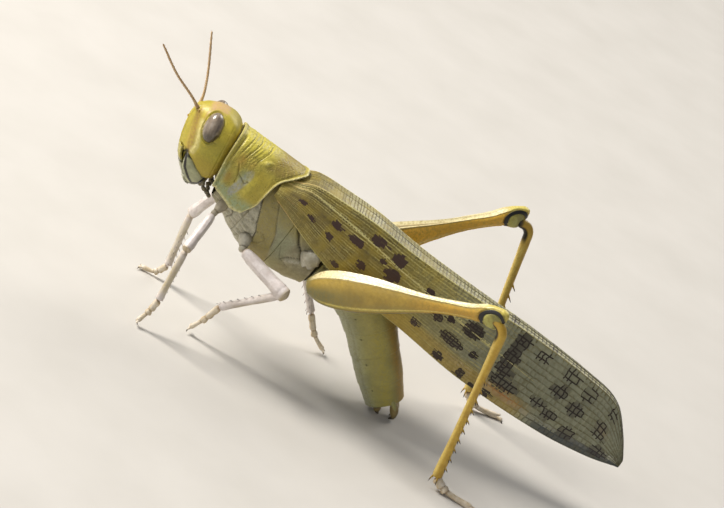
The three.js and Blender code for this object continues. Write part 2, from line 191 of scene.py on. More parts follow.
def stackRings(rings, sides=12):
    # a circle pulled up ring by ring: (height, halfWide, halfDeep, slideX, slideY)
    clearSelection()
    height, wide, deep, slideX, slideY = rings[0]
    bpy.ops.mesh.primitive_circle_add(vertices=sides, radius=1, fill_type="NGON", location=(0, 0, 0))
    piece = bpy.context.object
    bpy.ops.object.mode_set(mode="EDIT")
    bpy.ops.mesh.select_all(action="SELECT")
    bpy.ops.transform.resize(value=(wide, deep, 1))
    bpy.ops.transform.translate(value=(slideX, slideY, height))
    for before, (height, wide, deep, slideX, slideY) in zip(rings, rings[1:]):
        step = (slideX - before[3], slideY - before[4], height - before[0])
        bpy.ops.mesh.extrude_region_move(TRANSFORM_OT_translate={"value": step})
        size = (wide / before[1], deep / before[2], 1)
        bpy.ops.transform.resize(value=size, center_override=(slideX, slideY, height))
    bpy.ops.mesh.select_all(action="SELECT")
    bpy.ops.mesh.normals_make_consistent(inside=False)
    bpy.ops.object.mode_set(mode="OBJECT")
    return piece


def addModifier(piece, kind, **settings):
    pick(piece)
    modifier = piece.modifiers.new(kind.title(), kind)
    for name, value in settings.items():
        setattr(modifier, name, value)
    bpy.ops.object.modifier_apply(modifier=modifier.name)


def roundOff(piece, levels=1):
    addModifier(piece, "SUBSURF", levels=levels, render_levels=levels)


def mark(piece, **rules):
    # a number at every point, which the finishes read by name
    for name, rule in rules.items():
        layer = piece.data.attributes.new(name, "FLOAT", "POINT")
        for vertex, item in zip(piece.data.vertices, layer.data):
            item.value = rule(vertex.co)


def copyOf(piece, mirrored=False):
    double = piece.copy()
    double.data = piece.data.copy()
    bpy.context.scene.collection.objects.link(double)
    if mirrored:
        double.data.transform(Matrix.Scale(-1, 4, (1, 0, 0)))
        double.data.flip_normals()
    return double


def joinPieces(pieces):
    pick(pieces[0])
    for piece in pieces[1:]:
        piece.select_set(True)
    bpy.ops.object.join()
    return pieces[0]


def finishPiece(piece, name, slot, *nodes, finish=None, place=levelPlace):
    # to metres and into the frame, with its finish, hiding the nodes it stands for
    piece.name = piece.data.name = name
    if finish:
        piece.data.materials.clear()
        piece.data.materials.append(finish)
    piece.matrix_world = place
    pick(piece)
    bpy.ops.object.transform_apply(location=True, rotation=True, scale=True)
    bpy.ops.object.shade_smooth_by_angle(angle=crispAngle)
    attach(piece, "root")
    if nodes:
        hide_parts(*nodes)


def finishPair(piece, name, slot, node, **settings):
    # a mirrored copy on the right, then the piece itself on the left
    for side, half in (("right", copyOf(piece, mirrored=True)), ("left", piece)):
        finishPiece(half, name.format(side=side, Side=side.title()), slot, node + "_" + side, **settings)


def tint(code):
    # a screen colour such as "c8b030" as the shader's own numbers
    parts = [int(code[i:i + 2], 16) / 255 for i in (0, 2, 4)]
    return tuple(p / 12.92 if p <= 0.04045 else ((p + 0.055) / 1.055) ** 2.4 for p in parts) + (1.0,)


class Wire:
    # a socket whose arithmetic adds Math nodes
    def __init__(self, finish, socket):
        self.finish, self.socket = finish, socket

    def maths(self, operation, first, second):
        return self.finish.node("ShaderNodeMath", {"operation": operation}, {0: first, 1: second})

    def __add__(self, other):
        return self.maths("ADD", self, other)

    def __radd__(self, other):
        return self.maths("ADD", other, self)

    def __sub__(self, other):
        return self.maths("SUBTRACT", self, other)

    def __rsub__(self, other):
        return self.maths("SUBTRACT", other, self)

    def __mul__(self, other):
        return self.maths("MULTIPLY", self, other)

    def __rmul__(self, other):
        return self.maths("MULTIPLY", other, self)


class Finish:
    # a material, with its patterns measured in millimetres
    def __init__(self, name, **plain):
        self.material = bpy.data.materials.new(name)
        self.material.use_nodes = True
        self.tree = self.material.node_tree
        self.shader = self.tree.nodes["Principled BSDF"]
        for socket, value in plain.items():
            self.feed(socket.replace("_", " "), value)
        where = self.node("ShaderNodeTexCoord", output="Object")
        self.place = self.node("ShaderNodeMapping", inputs={"Vector": where, "Scale": (1000, 1000, 1000)})

    def feed(self, socket, value):
        self.connect(self.shader.inputs[socket], value)

    def connect(self, target, value):
        if isinstance(value, Wire):
            self.tree.links.new(value.socket, target)
        else:
            target.default_value = tint(value) if isinstance(value, str) else value

    def node(self, kind, settings=None, inputs=None, output=0):
        made = self.tree.nodes.new(kind)
        for name, value in (settings or {}).items():
            setattr(made, name, value)
        for name, value in (inputs or {}).items():
            self.connect(made.inputs[name], value)
        return Wire(self, made.outputs[output])

    def marked(self, name):
        return self.node("ShaderNodeAttribute", {"attribute_name": name}, output="Fac")

    def cloud(self, perMillimetre, detail=3, roughness=0.55):
        inputs = {"Vector": self.place, "Scale": perMillimetre, "Detail": detail, "Roughness": roughness}
        return self.node("ShaderNodeTexNoise", inputs=inputs)

    def pebbles(self, perMillimetre):
        inputs = {"Vector": self.place, "Scale": perMillimetre}
        return self.node("ShaderNodeTexVoronoi", inputs=inputs, output="Distance")

    def between(self, wire, low, high):
        # 0 below low and 1 above high
        inputs = {"Value": wire, "From Min": low, "From Max": high}
        return self.node("ShaderNodeMapRange", {"clamp": True}, inputs)

    def blend(self, share, first, second):
        settings = {"data_type": "RGBA", "clamp_factor": True}
        return self.node("ShaderNodeMix", settings, {0: share, 6: first, 7: second}, output=2)
    def painted(self, colour, layers, patches=None):
        # layers of (mark, paint, strength), one over the other
        for marking, paint, strength in layers:
            share = self.marked(marking) * strength
            colour = self.blend(share * patches if patches else share, colour, paint)
        return colour

    def bump(self, height, depth, strength=1.0):
        inputs = {"Height": height, "Distance": depth * millimetre, "Strength": strength}
        self.feed("Normal", self.node("ShaderNodeBump", inputs=inputs))


# The crease marks are painted shade in grooves and gaps, the pit marks are dark spiracles with painted shade
# round the hearing patch, and black and tip are the shell's own dark marks.
cleanMarks = ("black", "crease", "pit", "tip")  # dark lines that no speckle breaks up


def shellFinish(name, light, dark, layers=(), cloudSize=0.7, grain=6.0, depth=0.02, rough=0.42,
                coat=0.15, patchy=0.6):
    # insect shell: a cloudy ground colour, marked layers over it, and a fine pitted grain
    finish = Finish(name, Coat_Roughness=0.25, Specular_IOR_Level=0.45)
    clouds = finish.between(finish.cloud(cloudSize, 4), 0.35, 0.68)
    speckle = finish.between(finish.cloud(grain * 0.6, 2), 0.45, 0.7)
    flecks = finish.between(finish.cloud(grain * 0.35, 5), 0.52, 0.7)
    broad = [layer for layer in layers if layer[0] not in cleanMarks]
    colour = finish.painted(finish.blend(clouds, light, dark), broad, 1 - patchy * 0.5 * speckle)
    colour = finish.blend(flecks * 0.4, finish.blend(speckle * 0.3, colour, dark), dark)
    colour = finish.painted(colour, [layer for layer in layers if layer[0] in cleanMarks])
    finish.feed("Base Color", colour)
    finish.feed("Roughness", rough + 0.18 * speckle)
    finish.feed("Coat Weight", coat)
    pits = finish.between(finish.pebbles(grain * 0.5), 0.05, 0.35)
    finish.bump(0.6 * pits + 0.4 * finish.cloud(grain, 2), depth)
    return finish.material


# Head: a rounded capsule with a pole at the crown and one underneath
print("modelling the head")
headShape = {"around": 220, "along": 150, "underside": 19.4, "shoulder": 25.4, "crownRise": 2.05,
             "chinDrop": 0.7, "chinEnd": 0.08, "crownStart": 0.78}
eyeShape = {"middle": (2.55, -23.58, 25.2), "radii": (1.43, 1.17, 1.97), "lean": 2, "slant": 12}
headFront = curve([(18.7, -25.3), (20.8, -26.35), (23.9, -26.8), (25.3, -26.7), (26.5, -26.2), (27.1, -25.3)])
headNape = curve([(18.7, -21.0), (20.5, -20.3), (22, -20.15), (24.5, -20.15), (25.5, -20.3)])
headHalf = curve([(18.7, 2.75), (20.5, 3.35), (22, 3.45), (24, 3.35), (25.6, 2.9), (26.6, 2.3), (27.1, 1.6)])
slantBy, leanBy = -radians(eyeShape["slant"]), radians(eyeShape["lean"])
eyeRound = Matrix.Rotation(slantBy, 3, "Y") @ Matrix.Rotation(leanBy, 3, "X")
eyeUnround = eyeRound.inverted()
cheekEdge = curve([(-25.4, 21.35), (-25.05, 21.05), (-24, 20.46), (-23.1, 19.7), (-22.2, 19.1), (-21, 18.7)])
jawFront = [(-25.1, 21.05), (-25.1, 20.3), (-24.85, 19), (-24.25, 18)]
lipTick = [(-25.1, 21.1), (-25.45, 20.3), (-25.35, 19.7)]
jawRear = [(-25.05, 21.05), (-24, 20.46), (-23.1, 19.7), (-22.2, 19.1), (-21.5, 19.0)]
faceBand = [(-26.1, 26.4), (-25.75, 25.25), (-25.35, 23), (-25.1, 21.4)]
cheekBand = [(-25.1, 25.3), (-24.85, 24), (-24.45, 22.3), (-24.6, 21.4)]


def headSkin(turn, share):
    low, high = headShape["underside"], headShape["shoulder"]
    chin, crown = headShape["chinEnd"], headShape["crownStart"]
    if share < chin:
        closing = (1 - share / chin) * pi / 2
        z, size = low - headShape["chinDrop"] * sin(closing), cos(closing) ** 0.4
    elif share > crown:
        closing = (share - crown) / (1 - crown) * pi / 2
        z, size = high + headShape["crownRise"] * sin(closing), cos(closing)
    else:
        z, size = low + (share - chin) / (crown - chin) * (high - low), 1
    level = min(max(z, low), high)
    front, nape, half = headFront(level), headNape(level), headHalf(level)
    middle = front * 0.4 + nape * 0.6
    facing = cos(turn)
    edge, power = (front, 0.92) if facing > 0 else (nape, 0.55)
    forward = 0.7 * (1 - size) if share > crown else 0
    wide = half * (1 - 0.22 * max(facing, 0) ** 2) * rounded(sin(turn), power)
    return Vector((size * wide, middle - forward + size * abs(facing) ** power * (edge - middle), z))


def eyeReach(spot):
    # 1 on the eye's surface, more outside it
    side = Vector((abs(spot.x), spot.y, spot.z)) - Vector(eyeShape["middle"])
    side = eyeUnround @ side
    return Vector([part / radius for part, radius in zip(side, eyeShape["radii"])]).length


def headCarve(spot):
    outward = (spot - Vector((0, -23.4, 23))).normalized()
    flat = (spot.y, spot.z)
    width = abs(spot.x)
    onFace = ramp(-25.4, -26.0, spot.y) * ramp(20.6, 21.1, spot.z) * ramp(26.6, 26.0, spot.z)
    rise = 0.13 * onFace * hump(width, 0.68, 0.3) - 0.1 * onFace * hump(width, 0, 0.42)
    sideways = ramp(0.8, 1.8, width)
    rise += 0.035 * sideways * hump(nearLine(flat, faceBand), 0.3, 0.26)
    rise -= 0.035 * sideways * hump(nearLine(flat, cheekBand), 0.3, 0.4)
    reach = eyeReach(spot)
    rise += 0.1 * hump(reach, 1.2, 0.09) * 0.5 - 0.12 * hump(reach, 1.06, 0.06)
    rise -= 0.04 * hump(spot.y, -21.3, 0.12) * ramp(26.6, 26.2, spot.z)
    rise -= 0.07 * onFace * hump(spot.z, 21.0, 0.14)
    rise -= 0.03 * hump(width, 0, 0.1) * ramp(-24.6, -24.2, spot.y) * ramp(26.4, 26.6, spot.z)
    rise += 0.02 * wander(spot, 0.9) + 0.012 * wander(spot, 0.35, 4)
    below = ramp(0.0, 0.22, cheekEdge(spot.y) - spot.z) * ramp(1.0, 1.5, width) * ramp(-20.9, -21.3, spot.y)
    inward = Vector((-copysign(0.55 * below, spot.x), 0, 0))
    return spot + outward * rise + inward


# Painted shade: dark lines in the gaps round the jaw and lip, and in the groove round the eye.
def headCreaseShade(spot):
    flat = (spot.y, spot.z)
    side = ramp(1.5, 1.9, abs(spot.x))
    dark = side * max(hump(nearLine(flat, jawFront), 0, 0.3), 0.45 * hump(nearLine(flat, jawRear), 0, 0.16))
    dark = max(dark, side * hump((Vector(flat) - Vector((-25.1, 21.1))).length, 0, 0.46))
    dark = max(dark, ramp(1.2, 1.5, abs(spot.x)) * hump(nearLine(flat, lipTick), 0, 0.3))
    return max(dark, 0.35 * hump(eyeReach(spot), 1.07, 0.06))


def besideEye(spot):
    # the brownish stretch round the eye's upper front
    return hump(eyeReach(spot), 1.3, 0.2) * ramp(-23.9, -24.5, spot.y) * ramp(24.4, 25.4, spot.z)


headMarks = {
    "crease": headCreaseShade,
    "cheek": lambda s: ramp(-25.6, -24.8, s.y) * ramp(25.4, 23.5, s.z) * ramp(1, 2, abs(s.x)),
    "lowCheek": lambda s: ramp(22.4, 20.6, s.z) * ramp(-25.0, -24.2, s.y) * ramp(1, 2, abs(s.x)),
    # darker face front, and painted shade on the crown that tones down the lamp's highlight there
    "front": lambda s: max(ramp(-25.0, -26.1, s.y), 0.95 * ramp(25.9, 27.0, s.z)),
    # brown on the face ridge and round the eye's upper front, and painted shade along the head's rear rim by
    # the collar
    "brownBand": lambda s: max(ramp(1.0, 1.5, abs(s.x)) * hump(nearLine((s.y, s.z), faceBand), 0, 0.85),
                               besideEye(s), 0.35 * ramp(-21.4, -21.0, s.y) * ramp(26.0, 25.4, s.z)),
    "paleBand": lambda s: max(ramp(1.1, 1.5, abs(s.x)) * hump(nearLine((s.y, s.z), cheekBand), 0, 0.55),
                              ramp(-25.2, -25.7, s.y) * ramp(21.2, 20.8, s.z)),
    "nape": lambda s: (ramp(1.9, 1.1, abs(s.x)) * ramp(26.6, 26.95, s.z)
                       * ramp(-25.2, -24.6, s.y) * ramp(-22.3, -22.9, s.y)),
}
# The crease layer is painted shade in the head's gaps and grooves.
headFinish = shellFinish("headYellow", "d8c644", "bca838", [
    ("cheek", "9b9230", 0.8), ("lowCheek", "ab9330", 0.7), ("front", "a3952b", 0.88),
    ("brownBand", "9c7442", 0.72), ("paleBand", "e9dc92", 0.85), ("nape", "c69d7c", 0.75),
    ("crease", "15110c", 1)], rough=0.44, coat=0.1)
head = rollGrid(headShape["around"], headShape["along"], headSkin)
mark(head, **headMarks)
reshape(head, headCarve)
finishPiece(head, "headCapsule", "head_shell", "head", finish=headFinish)


# Eyes, with their upright stripes and fine facets, and the three small eyes of the brow
eyeFinish = Finish("eyeBrown", Coat_Weight=0.9, Coat_Roughness=0.06, Specular_IOR_Level=0.5)
stripes = 0.4 * eyeFinish.marked("stripe") + 0.6 * eyeFinish.between(eyeFinish.cloud(2.6, 4), 0.4, 0.75)
eyeColour = eyeFinish.blend(stripes, "8f7f6c", "5c4f40")
eyeColour = eyeFinish.blend(eyeFinish.marked("lower"), eyeColour, "3d3016")
eyeColour = eyeFinish.blend(0.5 * eyeFinish.between(eyeFinish.cloud(1.1, 2), 0.5, 0.75), eyeColour, "a99c8a")
eyeFinish.feed("Base Color", eyeColour)
eyeFinish.feed("Roughness", 0.3 + 0.1 * stripes)
eyeFinish.bump(eyeFinish.between(eyeFinish.pebbles(9.0), 0.0, 0.6), 0.01, 0.35)


def eyeWarp(spot):
    ball = Vector([part * radius for part, radius in zip(spot, eyeShape["radii"])])
    return eyeRound @ ball + Vector(eyeShape["middle"])


eye = ball(72, 48, 1)
mark(eye, stripe=lambda s: 0.5 + 0.5 * sin(atan2(s.y, s.z * 0.35 + 0.75) * 15),
     lower=lambda s: ramp(0.1, -0.6, s.z - 0.3 * s.y) * 0.95)
reshape(eye, eyeWarp)
finishPair(eye, "{side}Eye", "eye", "eye", finish=eyeFinish.material)

browEyes = {"spots": [(0, -26.9, 24.3), (1.5, -26.0, 26.0), (-1.5, -26.0, 26.0)], "radius": 0.15}
beads = []
for middle in browEyes["spots"]:
    beads.append(ball(16, 10, browEyes["radius"]))
    mark(beads[-1], stripe=lambda s: 0.2, lower=lambda s: 0.0)
    reshape(beads[-1], lambda s: Vector((s.x, 0.6 * s.y, s.z)) + Vector(middle))
browFinish = shellFinish("browAmber", "c9a24a", "9a7230", rough=0.2, coat=0.6)
finishPiece(joinPieces(beads), "browEyes", "eye", finish=browFinish)


# Mouthparts: the plates in front, the jaws, the plate behind and the feelers
print("modelling the mouthparts")
paleFinish = shellFinish("mouthPale", "c9c8b0", "a9a88c", [
    ("yellow", "a3952b", 0.95), ("crease", "1b1712", 1)], rough=0.4, coat=0.15)
jawFinish = shellFinish("jawGreen", "b9b98d", "8f9070", [
    ("crease", "17130e", 1), ("tip", "2b1d12", 1)], rough=0.36, coat=0.25)
feelerFinish = shellFinish("feelerDark", "8d8263", "4e4634", [
    ("ring", "262019", 0.8)], rough=0.45, coat=0.1)


def bentPlate(columns, rows, spot, thick):
    # a grid laid on spot(across -1..1, share) and given a thickness
    piece = flatGrid(columns, rows)
    reshape(piece, lambda s: spot(s.x, (s.y + 1) / 2))
    addModifier(piece, "SOLIDIFY", thickness=thick, offset=0)
    closeUp(piece)
    addModifier(piece, "BEVEL", width=thick * 0.3, segments=2, limit_method="ANGLE", angle_limit=1.0)
    return piece


faceLine = smoothPath([(0, -26.2, 20.95), (0, -25.85, 19.8), (0, -25.15, 18.6), (0, -24.3, 17.6)])
lipLine = smoothPath([(0, -24.3, 17.75), (0, -24.1, 17.2), (0, -23.4, 16.75)])


def clypeusSpot(across, share):
    spot = faceLine(share)
    half = 1.45 + 0.25 * sin(share * pi)
    bulge = 0.5 * across * across
    wrinkle = 0.05 * hump(share, 0.45, 0.07)
    return Vector((across * half, spot.y + bulge - 0.12 + wrinkle, spot.z))


def labrumSpot(across, share):
    spot = lipLine(share)
    half = 1.6 * (1 - 0.35 * share ** 4)
    notch = 0.28 * hump(across, 0, 0.3) * ramp(0.6, 1, share)
    return Vector((across * half, spot.y + 0.45 * across * across - 0.12, spot.z + notch))


clypeus = bentPlate(24, 26, clypeusSpot, 0.3)
# The crease mark is painted shade: along the plate's lower edge and in the gap at its sides against the head.
mark(clypeus, yellow=lambda s: ramp(19.2, 19.5, s.z),
     crease=lambda s: max(0.8 * hump(s.z, 17.75, 0.1),
                          (0.4 + 0.6 * ramp(0.9, 1.3, abs(s.x))) * hump(s.z, 19.15, 0.22)))
finishPiece(clypeus, "facePlate", "mouthparts", "clypeus", finish=paleFinish)
labrum = bentPlate(24, 18, labrumSpot, 0.3)
# painted shade along the lip's lower edge
mark(labrum, crease=lambda s: 0.5 * ramp(16.95, 16.85, s.z))
finishPiece(labrum, "upperLip", "mouthparts", "labrum", finish=paleFinish)

jawOutline = {
    "front": curve([(16.8, -23.2), (17.3, -23.7), (18, -24.2), (18.5, -24.55), (19, -24.82), (20.3, -25.08),
        (21, -25.1)]),
    "rear": curve([(16.8, -22.55), (17.3, -22.15), (18, -21.8), (18.6, -21.8), (19.1, -22.2),
        (19.7, -23.05), (20.46, -23.95), (21, -24.85)]),
    "reach": curve([(16.8, 1.7), (17.3, 2.1), (18, 2.6), (19, 2.98), (20, 3.08), (21, 2.85)]),
}


def jawSkin(turn, share):
    closing = abs(2 * share - 1) ** 8
    z = 16.75 + 4.3 * share
    front, rear, reach = (jawOutline[name](z) for name in ("front", "rear", "reach"))
    middle, half = (front + rear) / 2, (rear - front) / 2 * (1 - closing)
    return Vector((reach - 0.7 + 0.7 * (1 - closing) * rounded(sin(turn), 0.7),
                   middle - half * rounded(cos(turn), 0.8), z))


jawLine = [(-25.1, 20.9), (-24.5, 19.2), (-23.5, 18.0), (-22.85, 17.4), (-22.15, 17.75), (-21.8, 18.5)]


# Painted shade along the jaw's edges, beneath it and where it tucks under the cheek.
def jawCreaseShade(spot):
    rim = ramp(0.22, 0.12, nearLine((spot.y, spot.z), jawLine))
    return max(rim, ramp(17.3, 17.15, spot.z), 0.9 * ramp(20.3, 20.6, spot.z))


jaw = rollGrid(72, 60, jawSkin)
mark(jaw, crease=jawCreaseShade, tip=lambda s: ramp(17.2, 16.95, s.z))
finishPair(jaw, "{side}Jaw", "jaw", "mandible", finish=jawFinish)


def beadedLimb(path, up, sizes, joints, sides=12, steps=8):
    # a tube pulled up ring by ring, pinched at its joints, then bent along a path
    radius = evenly(sizes)
    rings = []
    for i in range(joints * steps + 1):
        share = i / (joints * steps)
        pinch = 1 - 0.28 * abs(cos(pi * share * joints)) ** 8
        end = 1 - 0.75 * ramp(0.985, 1.0, share) - 0.4 * ramp(0.02, 0, share)
        size = radius(share) * pinch * end
        rings.append((share * 10, size, size, 0, 0))
    piece = stackRings(rings, sides)
    place = limbPlace(smoothPath(path), up)
    mark(piece, ring=lambda s: abs(cos(pi * s.z / 10 * joints)) ** 10, tipward=lambda s: s.z / 10)
    reshape(piece, lambda s: place(s.x, s.y, s.z))
    return piece


labiumPath = [(0, -21.75, 18.9), (0, -21.6, 17.8), (0, -21.9, 16.95)]
labium = beadedLimb(labiumPath, (0, -1, 0), [0.42, 0.45, 0.4], 2, 24)
reshape(labium, lambda s: Vector((s.x * (3.2 - 0.5 * hump(s.z, 16.9, 0.6)), s.y, s.z)))
finishPiece(labium, "lowerLip", "palps", "labium", finish=feelerFinish)
feelers = {
    "longFeeler": ("maxillary_palp",
                   [(2.35, -21.7, 18.5), (2.6, -21.3, 17.7), (2.5, -20.6, 17.3), (2.2, -20.1, 16.8)], 4),
    "shortFeeler": ("labial_palp", [(1.2, -21.1, 18.1), (1.4, -20.7, 17.4), (1.3, -20.6, 16.7)], 3),
}
for name, (node, path, joints) in feelers.items():
    feeler = beadedLimb(path, (1, 0, 0), [0.22, 0.27, 0.27, 0.28, 0.27], joints)
    finishPair(feeler, name + "{Side}", "palps", node, finish=feelerFinish)


# Antennae: a thick root joint, a short second joint and a long jointed whip
antennaFinish = shellFinish("antennaTan", "d8bd90", "b69468", [
    ("ring", "8a6a42", 0.5), ("tipward", "b9946a", 0.5)], rough=0.5, coat=0.05)
antennaShape = {
    "joints": 26,
    "sizes": [0.32, 0.22, 0.19, 0.18, 0.17, 0.165, 0.16, 0.15, 0.12],
    "left": [(0.9, -26.3, 26.05), (1.2, -27.4, 27.0), (2.6, -30.4, 29.3), (5, -33.6, 32.8)],
    "right": [(-0.9, -26.2, 26.05), (-1.25, -26.35, 27.3), (-2.1, -27, 29.5), (-3, -28.9, 34.3)],
}
for side in ("left", "right"):
    path = antennaShape[side]
    whip = beadedLimb(path, (1, 0, 0), antennaShape["sizes"], antennaShape["joints"], 12, 6)
    rootSpot = Vector(path[0]) + Vector((0, 0.05, 0))
    clearSelection()
    bpy.ops.mesh.primitive_torus_add(
        major_radius=0.3, minor_radius=0.07, major_segments=28, minor_segments=10)
    socketRing = bpy.context.object
    aim = (Vector(path[1]) - Vector(path[0])).to_track_quat("Z", "Y").to_matrix()
    reshape(socketRing, lambda s: aim @ s + rootSpot + Vector((0, 0.12, 0)))
    mark(socketRing, ring=lambda s: 0.4, tipward=lambda s: 0.0)
    finishPiece(joinPieces([whip, socketRing]), side + "Antenna", "antenna", "antenna_" + side,
                finish=antennaFinish)


# Neck skin, pleated between the head and the collar
print("modelling the neck and thorax")
neckFinish = shellFinish("neckSkin", "b3a46c", "857a50", [
    ("crease", "4a3f24", 0.6)], rough=0.5, coat=0.05)
neckShape = {"front": -21.3, "rear": -18.3, "height": 22.3, "wide": 2.95, "deep": 3.7, "pleats": 5}


def neckSkin(turn, share):
    size = (1 - 0.05 * cos(tau * neckShape["pleats"] * share)) * sin(pi * share) ** 0.2
    wide, deep = size * neckShape["wide"], size * neckShape["deep"]
    y = neckShape["front"] + share * (neckShape["rear"] - neckShape["front"])
    return Vector((wide * rounded(sin(turn), 0.8), y, neckShape["height"] + deep * cos(turn)))


neck = rollGrid(72, 60, neckSkin)
# The crease mark is painted shade in the folds between the pleats.
mark(neck, crease=lambda s: 0.5 + 0.5 * cos(tau * neckShape["pleats"] * (s.y + 21.2) / 2.9))
finishPiece(neck, "neckPleats", "neck_skin", "neck", finish=neckFinish)


# Pronotum: a saddle with turn (degrees from the midline) and way (0 at the collar, 1 at the rear)
saddle = {"reach": 110, "half": 4.2, "lobe": 8.3, "columns": 190, "rows": 100, "thick": 0.35}
frontMargin = curve([(0, 0), (0.96, 0.1), (1.2, 0.25), (1.73, 0.87), (1.92, 1.1)])
rearMargin = curve([(0, 9.85), (0.14, 9.83), (0.34, 9.35), (0.56, 8.6), (0.83, 7.5), (1.05, 7.05),
    (1.37, 6.8), (1.56, 6.65), (1.86, 5.7), (1.92, 5.4)])
grooves = [  # (half width, depth, line through (turn, way) spots)
    (0.01, 0.07, [(6, 0.195), (24, 0.19), (44, 0.175)]), (0.006, 0.03, [(8, 0.235), (30, 0.225)]),
    (0.01, 0.08, [(4, 0.3), (24, 0.305), (46, 0.29)]), (0.006, 0.03, [(8, 0.335), (36, 0.33)]),
    (0.006, 0.025, [(10, 0.265), (32, 0.26)]), (0.007, 0.035, [(6, 0.38), (26, 0.385), (40, 0.38)]),
    (0.011, 0.09, [(4, 0.44), (22, 0.465), (44, 0.47)]),
    (0.014, 0.12, [(60, 0.26), (67, 0.32), (72, 0.35), (82, 0.36)]),
    (0.013, 0.11, [(70, 0.36), (73, 0.45), (76, 0.54), (72, 0.58)]),
    (0.008, 0.05, [(80, 0.36), (86, 0.28), (92, 0.2)]), (0.008, 0.04, [(50, 0.4), (62, 0.43), (70, 0.5)])]


def spreadOf(turn, way):
    # the flat spot that grooves and marks are measured on
    return turn / saddle["reach"], way


def grooveShare(turn, way, width, line):
    return hump(nearLine(spreadOf(turn, way), [spreadOf(*spot) for spot in line]), 0, width * 1.3)


def saddleRise(turn, way):
    turn = abs(turn)
    rise = 0.12 * hump(way, 0.02, 0.05) - 0.16 * hump(way, 0.09, 0.035) * ramp(8, 20, turn)
    rise += 0.1 * hump(way, 0.985, 0.03) - 0.05 * hump(way, 0.94, 0.03)
    rise += 0.1 * hump(turn, 109, 4) + 0.13 * hump(turn, 0, 4) * (1 - 0.8 * hump(way, 0.29, 0.03)) - 0.04
    rise += 0.2 * hump(turn, 37, 9) * hump(way, 0.58, 0.08) - 0.16 * hump(turn, 90, 16) * hump(way, 0.35, 0.2)
    rise += 0.1 * hump(turn, 62, 14) * hump(way, 0.3, 0.14) - 0.05 * hump(turn, 56, 10) * hump(way, 0.75, 0.2)
    rise += 0.16 * hump(turn, 78, 26) * hump(way, 0.68, 0.16)
    for width, depth, line in grooves:
        rise -= depth * grooveShare(turn, way, width, line)
    wrinkled = ramp(56, 44, turn) * ramp(0.12, 0.16, way) * ramp(0.52, 0.48, way)
    rise += 0.02 * wrinkled * sin(way * 120 + turn * 0.05)
    punctured = ramp(52, 36, turn) * ramp(0.54, 0.62, way)
    return rise - 0.045 * punctured * max(sin(way * 95) * sin(turn * 1.1 + 0.6 * sin(way * 40)), 0)


def saddleSpot(turn, way):
    corner = 1 - 0.1 * max(1 - way / 0.7, 0) - 0.03 * ramp(0.85, 1, way) ** 2
    angle = radians(turn * (1 - (1 - corner) * ramp(80, 110, abs(turn))))
    size = abs(angle)
    drop = (1 - cos(angle)) / (1 - cos(radians(saddle["reach"])))
    along = frontMargin(size) + way * (rearMargin(size) - frontMargin(size))
    spot = Vector((saddle["half"] * rounded(sin(angle), 0.7), along, -saddle["lobe"] * drop))
    outward = Vector((spot.x, 0, spot.z + 4.6)).normalized()
    grain = 0.025 * wander(spot, 0.5) + 0.05 * wander(spot, 1.4, 3)
    return spot + outward * (saddleRise(turn, way) + grain * ramp(0.03, 0.12, way) * ramp(0.99, 0.9, way))


lilacLine = [(0.85, 0.42), (0.77, 0.45), (0.6, 0.53)]
saddleMarks = {
    # painted shade in the grooves and in the dent behind the front rim
    "crease": lambda t, w: max(
        hump(w, 0.088, 0.022) * ramp(12, 24, t) * ramp(66, 50, t),
        *(grooveShare(t, w, width * 0.9, line) * depth * 6 for width, depth, line in grooves)),
    # pale cream rims, and a painted highlight on the bump of the disc
    "rimCreamAndHighlight": lambda t, w: max(
        (0.35 + 0.4 * ramp(70, 95, t)) * ramp(0.04, 0.028, w), ramp(0.965, 0.98, w),
        ramp(105.5, 108, t), 0.7 * hump(t, 37, 5) * hump(w, 0.58, 0.04)),
    "disc": lambda t, w: 0.9 * ramp(52, 36, t) * ramp(0.54, 0.68, w) * ramp(0.98, 0.9, w),
    "green": lambda t, w: max(ramp(86, 100, t), hump(t, 70, 14) * hump(w, 0.46, 0.16),
                              0.8 * ramp(60, 80, t) * ramp(0.2, 0.1, w)),
    "lilac": lambda t, w: (ramp(0.1, 0.055, nearLine(spreadOf(t, w), lilacLine))
                           * (0.55 + 0.45 * ramp(70, 84, t))),
    "orange": lambda t, w: max(hump(t, 80, 14) * hump(w, 0.2, 0.14), hump(t, 54, 16) * hump(w, 0.26, 0.16),
                               0.6 * hump(t, 52, 12) * hump(w, 0.45, 0.1)),
    "lemon": lambda t, w: max(ramp(44, 30, t) * ramp(0.03, 0.08, w) * ramp(0.56, 0.46, w),
                              hump(t, 36, 10) * hump(w, 0.58, 0.1),
                              0.8 * hump(t, 76, 20) * hump(w, 0.66, 0.14)),
    "gold": lambda t, w: ramp(44, 56, t) * ramp(0.55, 0.66, w) * ramp(104, 96, t),
}
# The crease layer is painted shade in the grooves; the rim cream layer also paints a highlight on the disc's
# bump.
saddleFinish = shellFinish("saddleYellow", "c3b54e", "9a8d39", [
    ("gold", "bda93e", 0.8), ("disc", "8f7a40", 0.9), ("green", "9dab82", 0.9), ("lemon", "cfc24a", 0.8),
    ("orange", "a07a30", 0.7), ("lilac", "a8a99c", 0.95), ("crease", "6b581f", 0.65),
    ("rimCreamAndHighlight", "e6dca0", 0.8)], rough=0.42, coat=0.12, grain=5.0, depth=0.08)
pronotum = flatGrid(saddle["columns"], saddle["rows"])
for name, rule in saddleMarks.items():
    mark(pronotum, **{name: lambda s: rule(abs(s.x) * saddle["reach"], (s.y + 1) / 2)})
reshape(pronotum, lambda s: saddleSpot(s.x * saddle["reach"], (s.y + 1) / 2))
addModifier(pronotum, "SOLIDIFY", thickness=saddle["thick"], offset=-1)
closeUp(pronotum)
addModifier(pronotum, "BEVEL", width=0.06, segments=2, limit_method="ANGLE", angle_limit=1.1)
finishPiece(pronotum, "saddleShield", "pronotum_shell", "pronotum", finish=saddleFinish, place=trunkPlace)


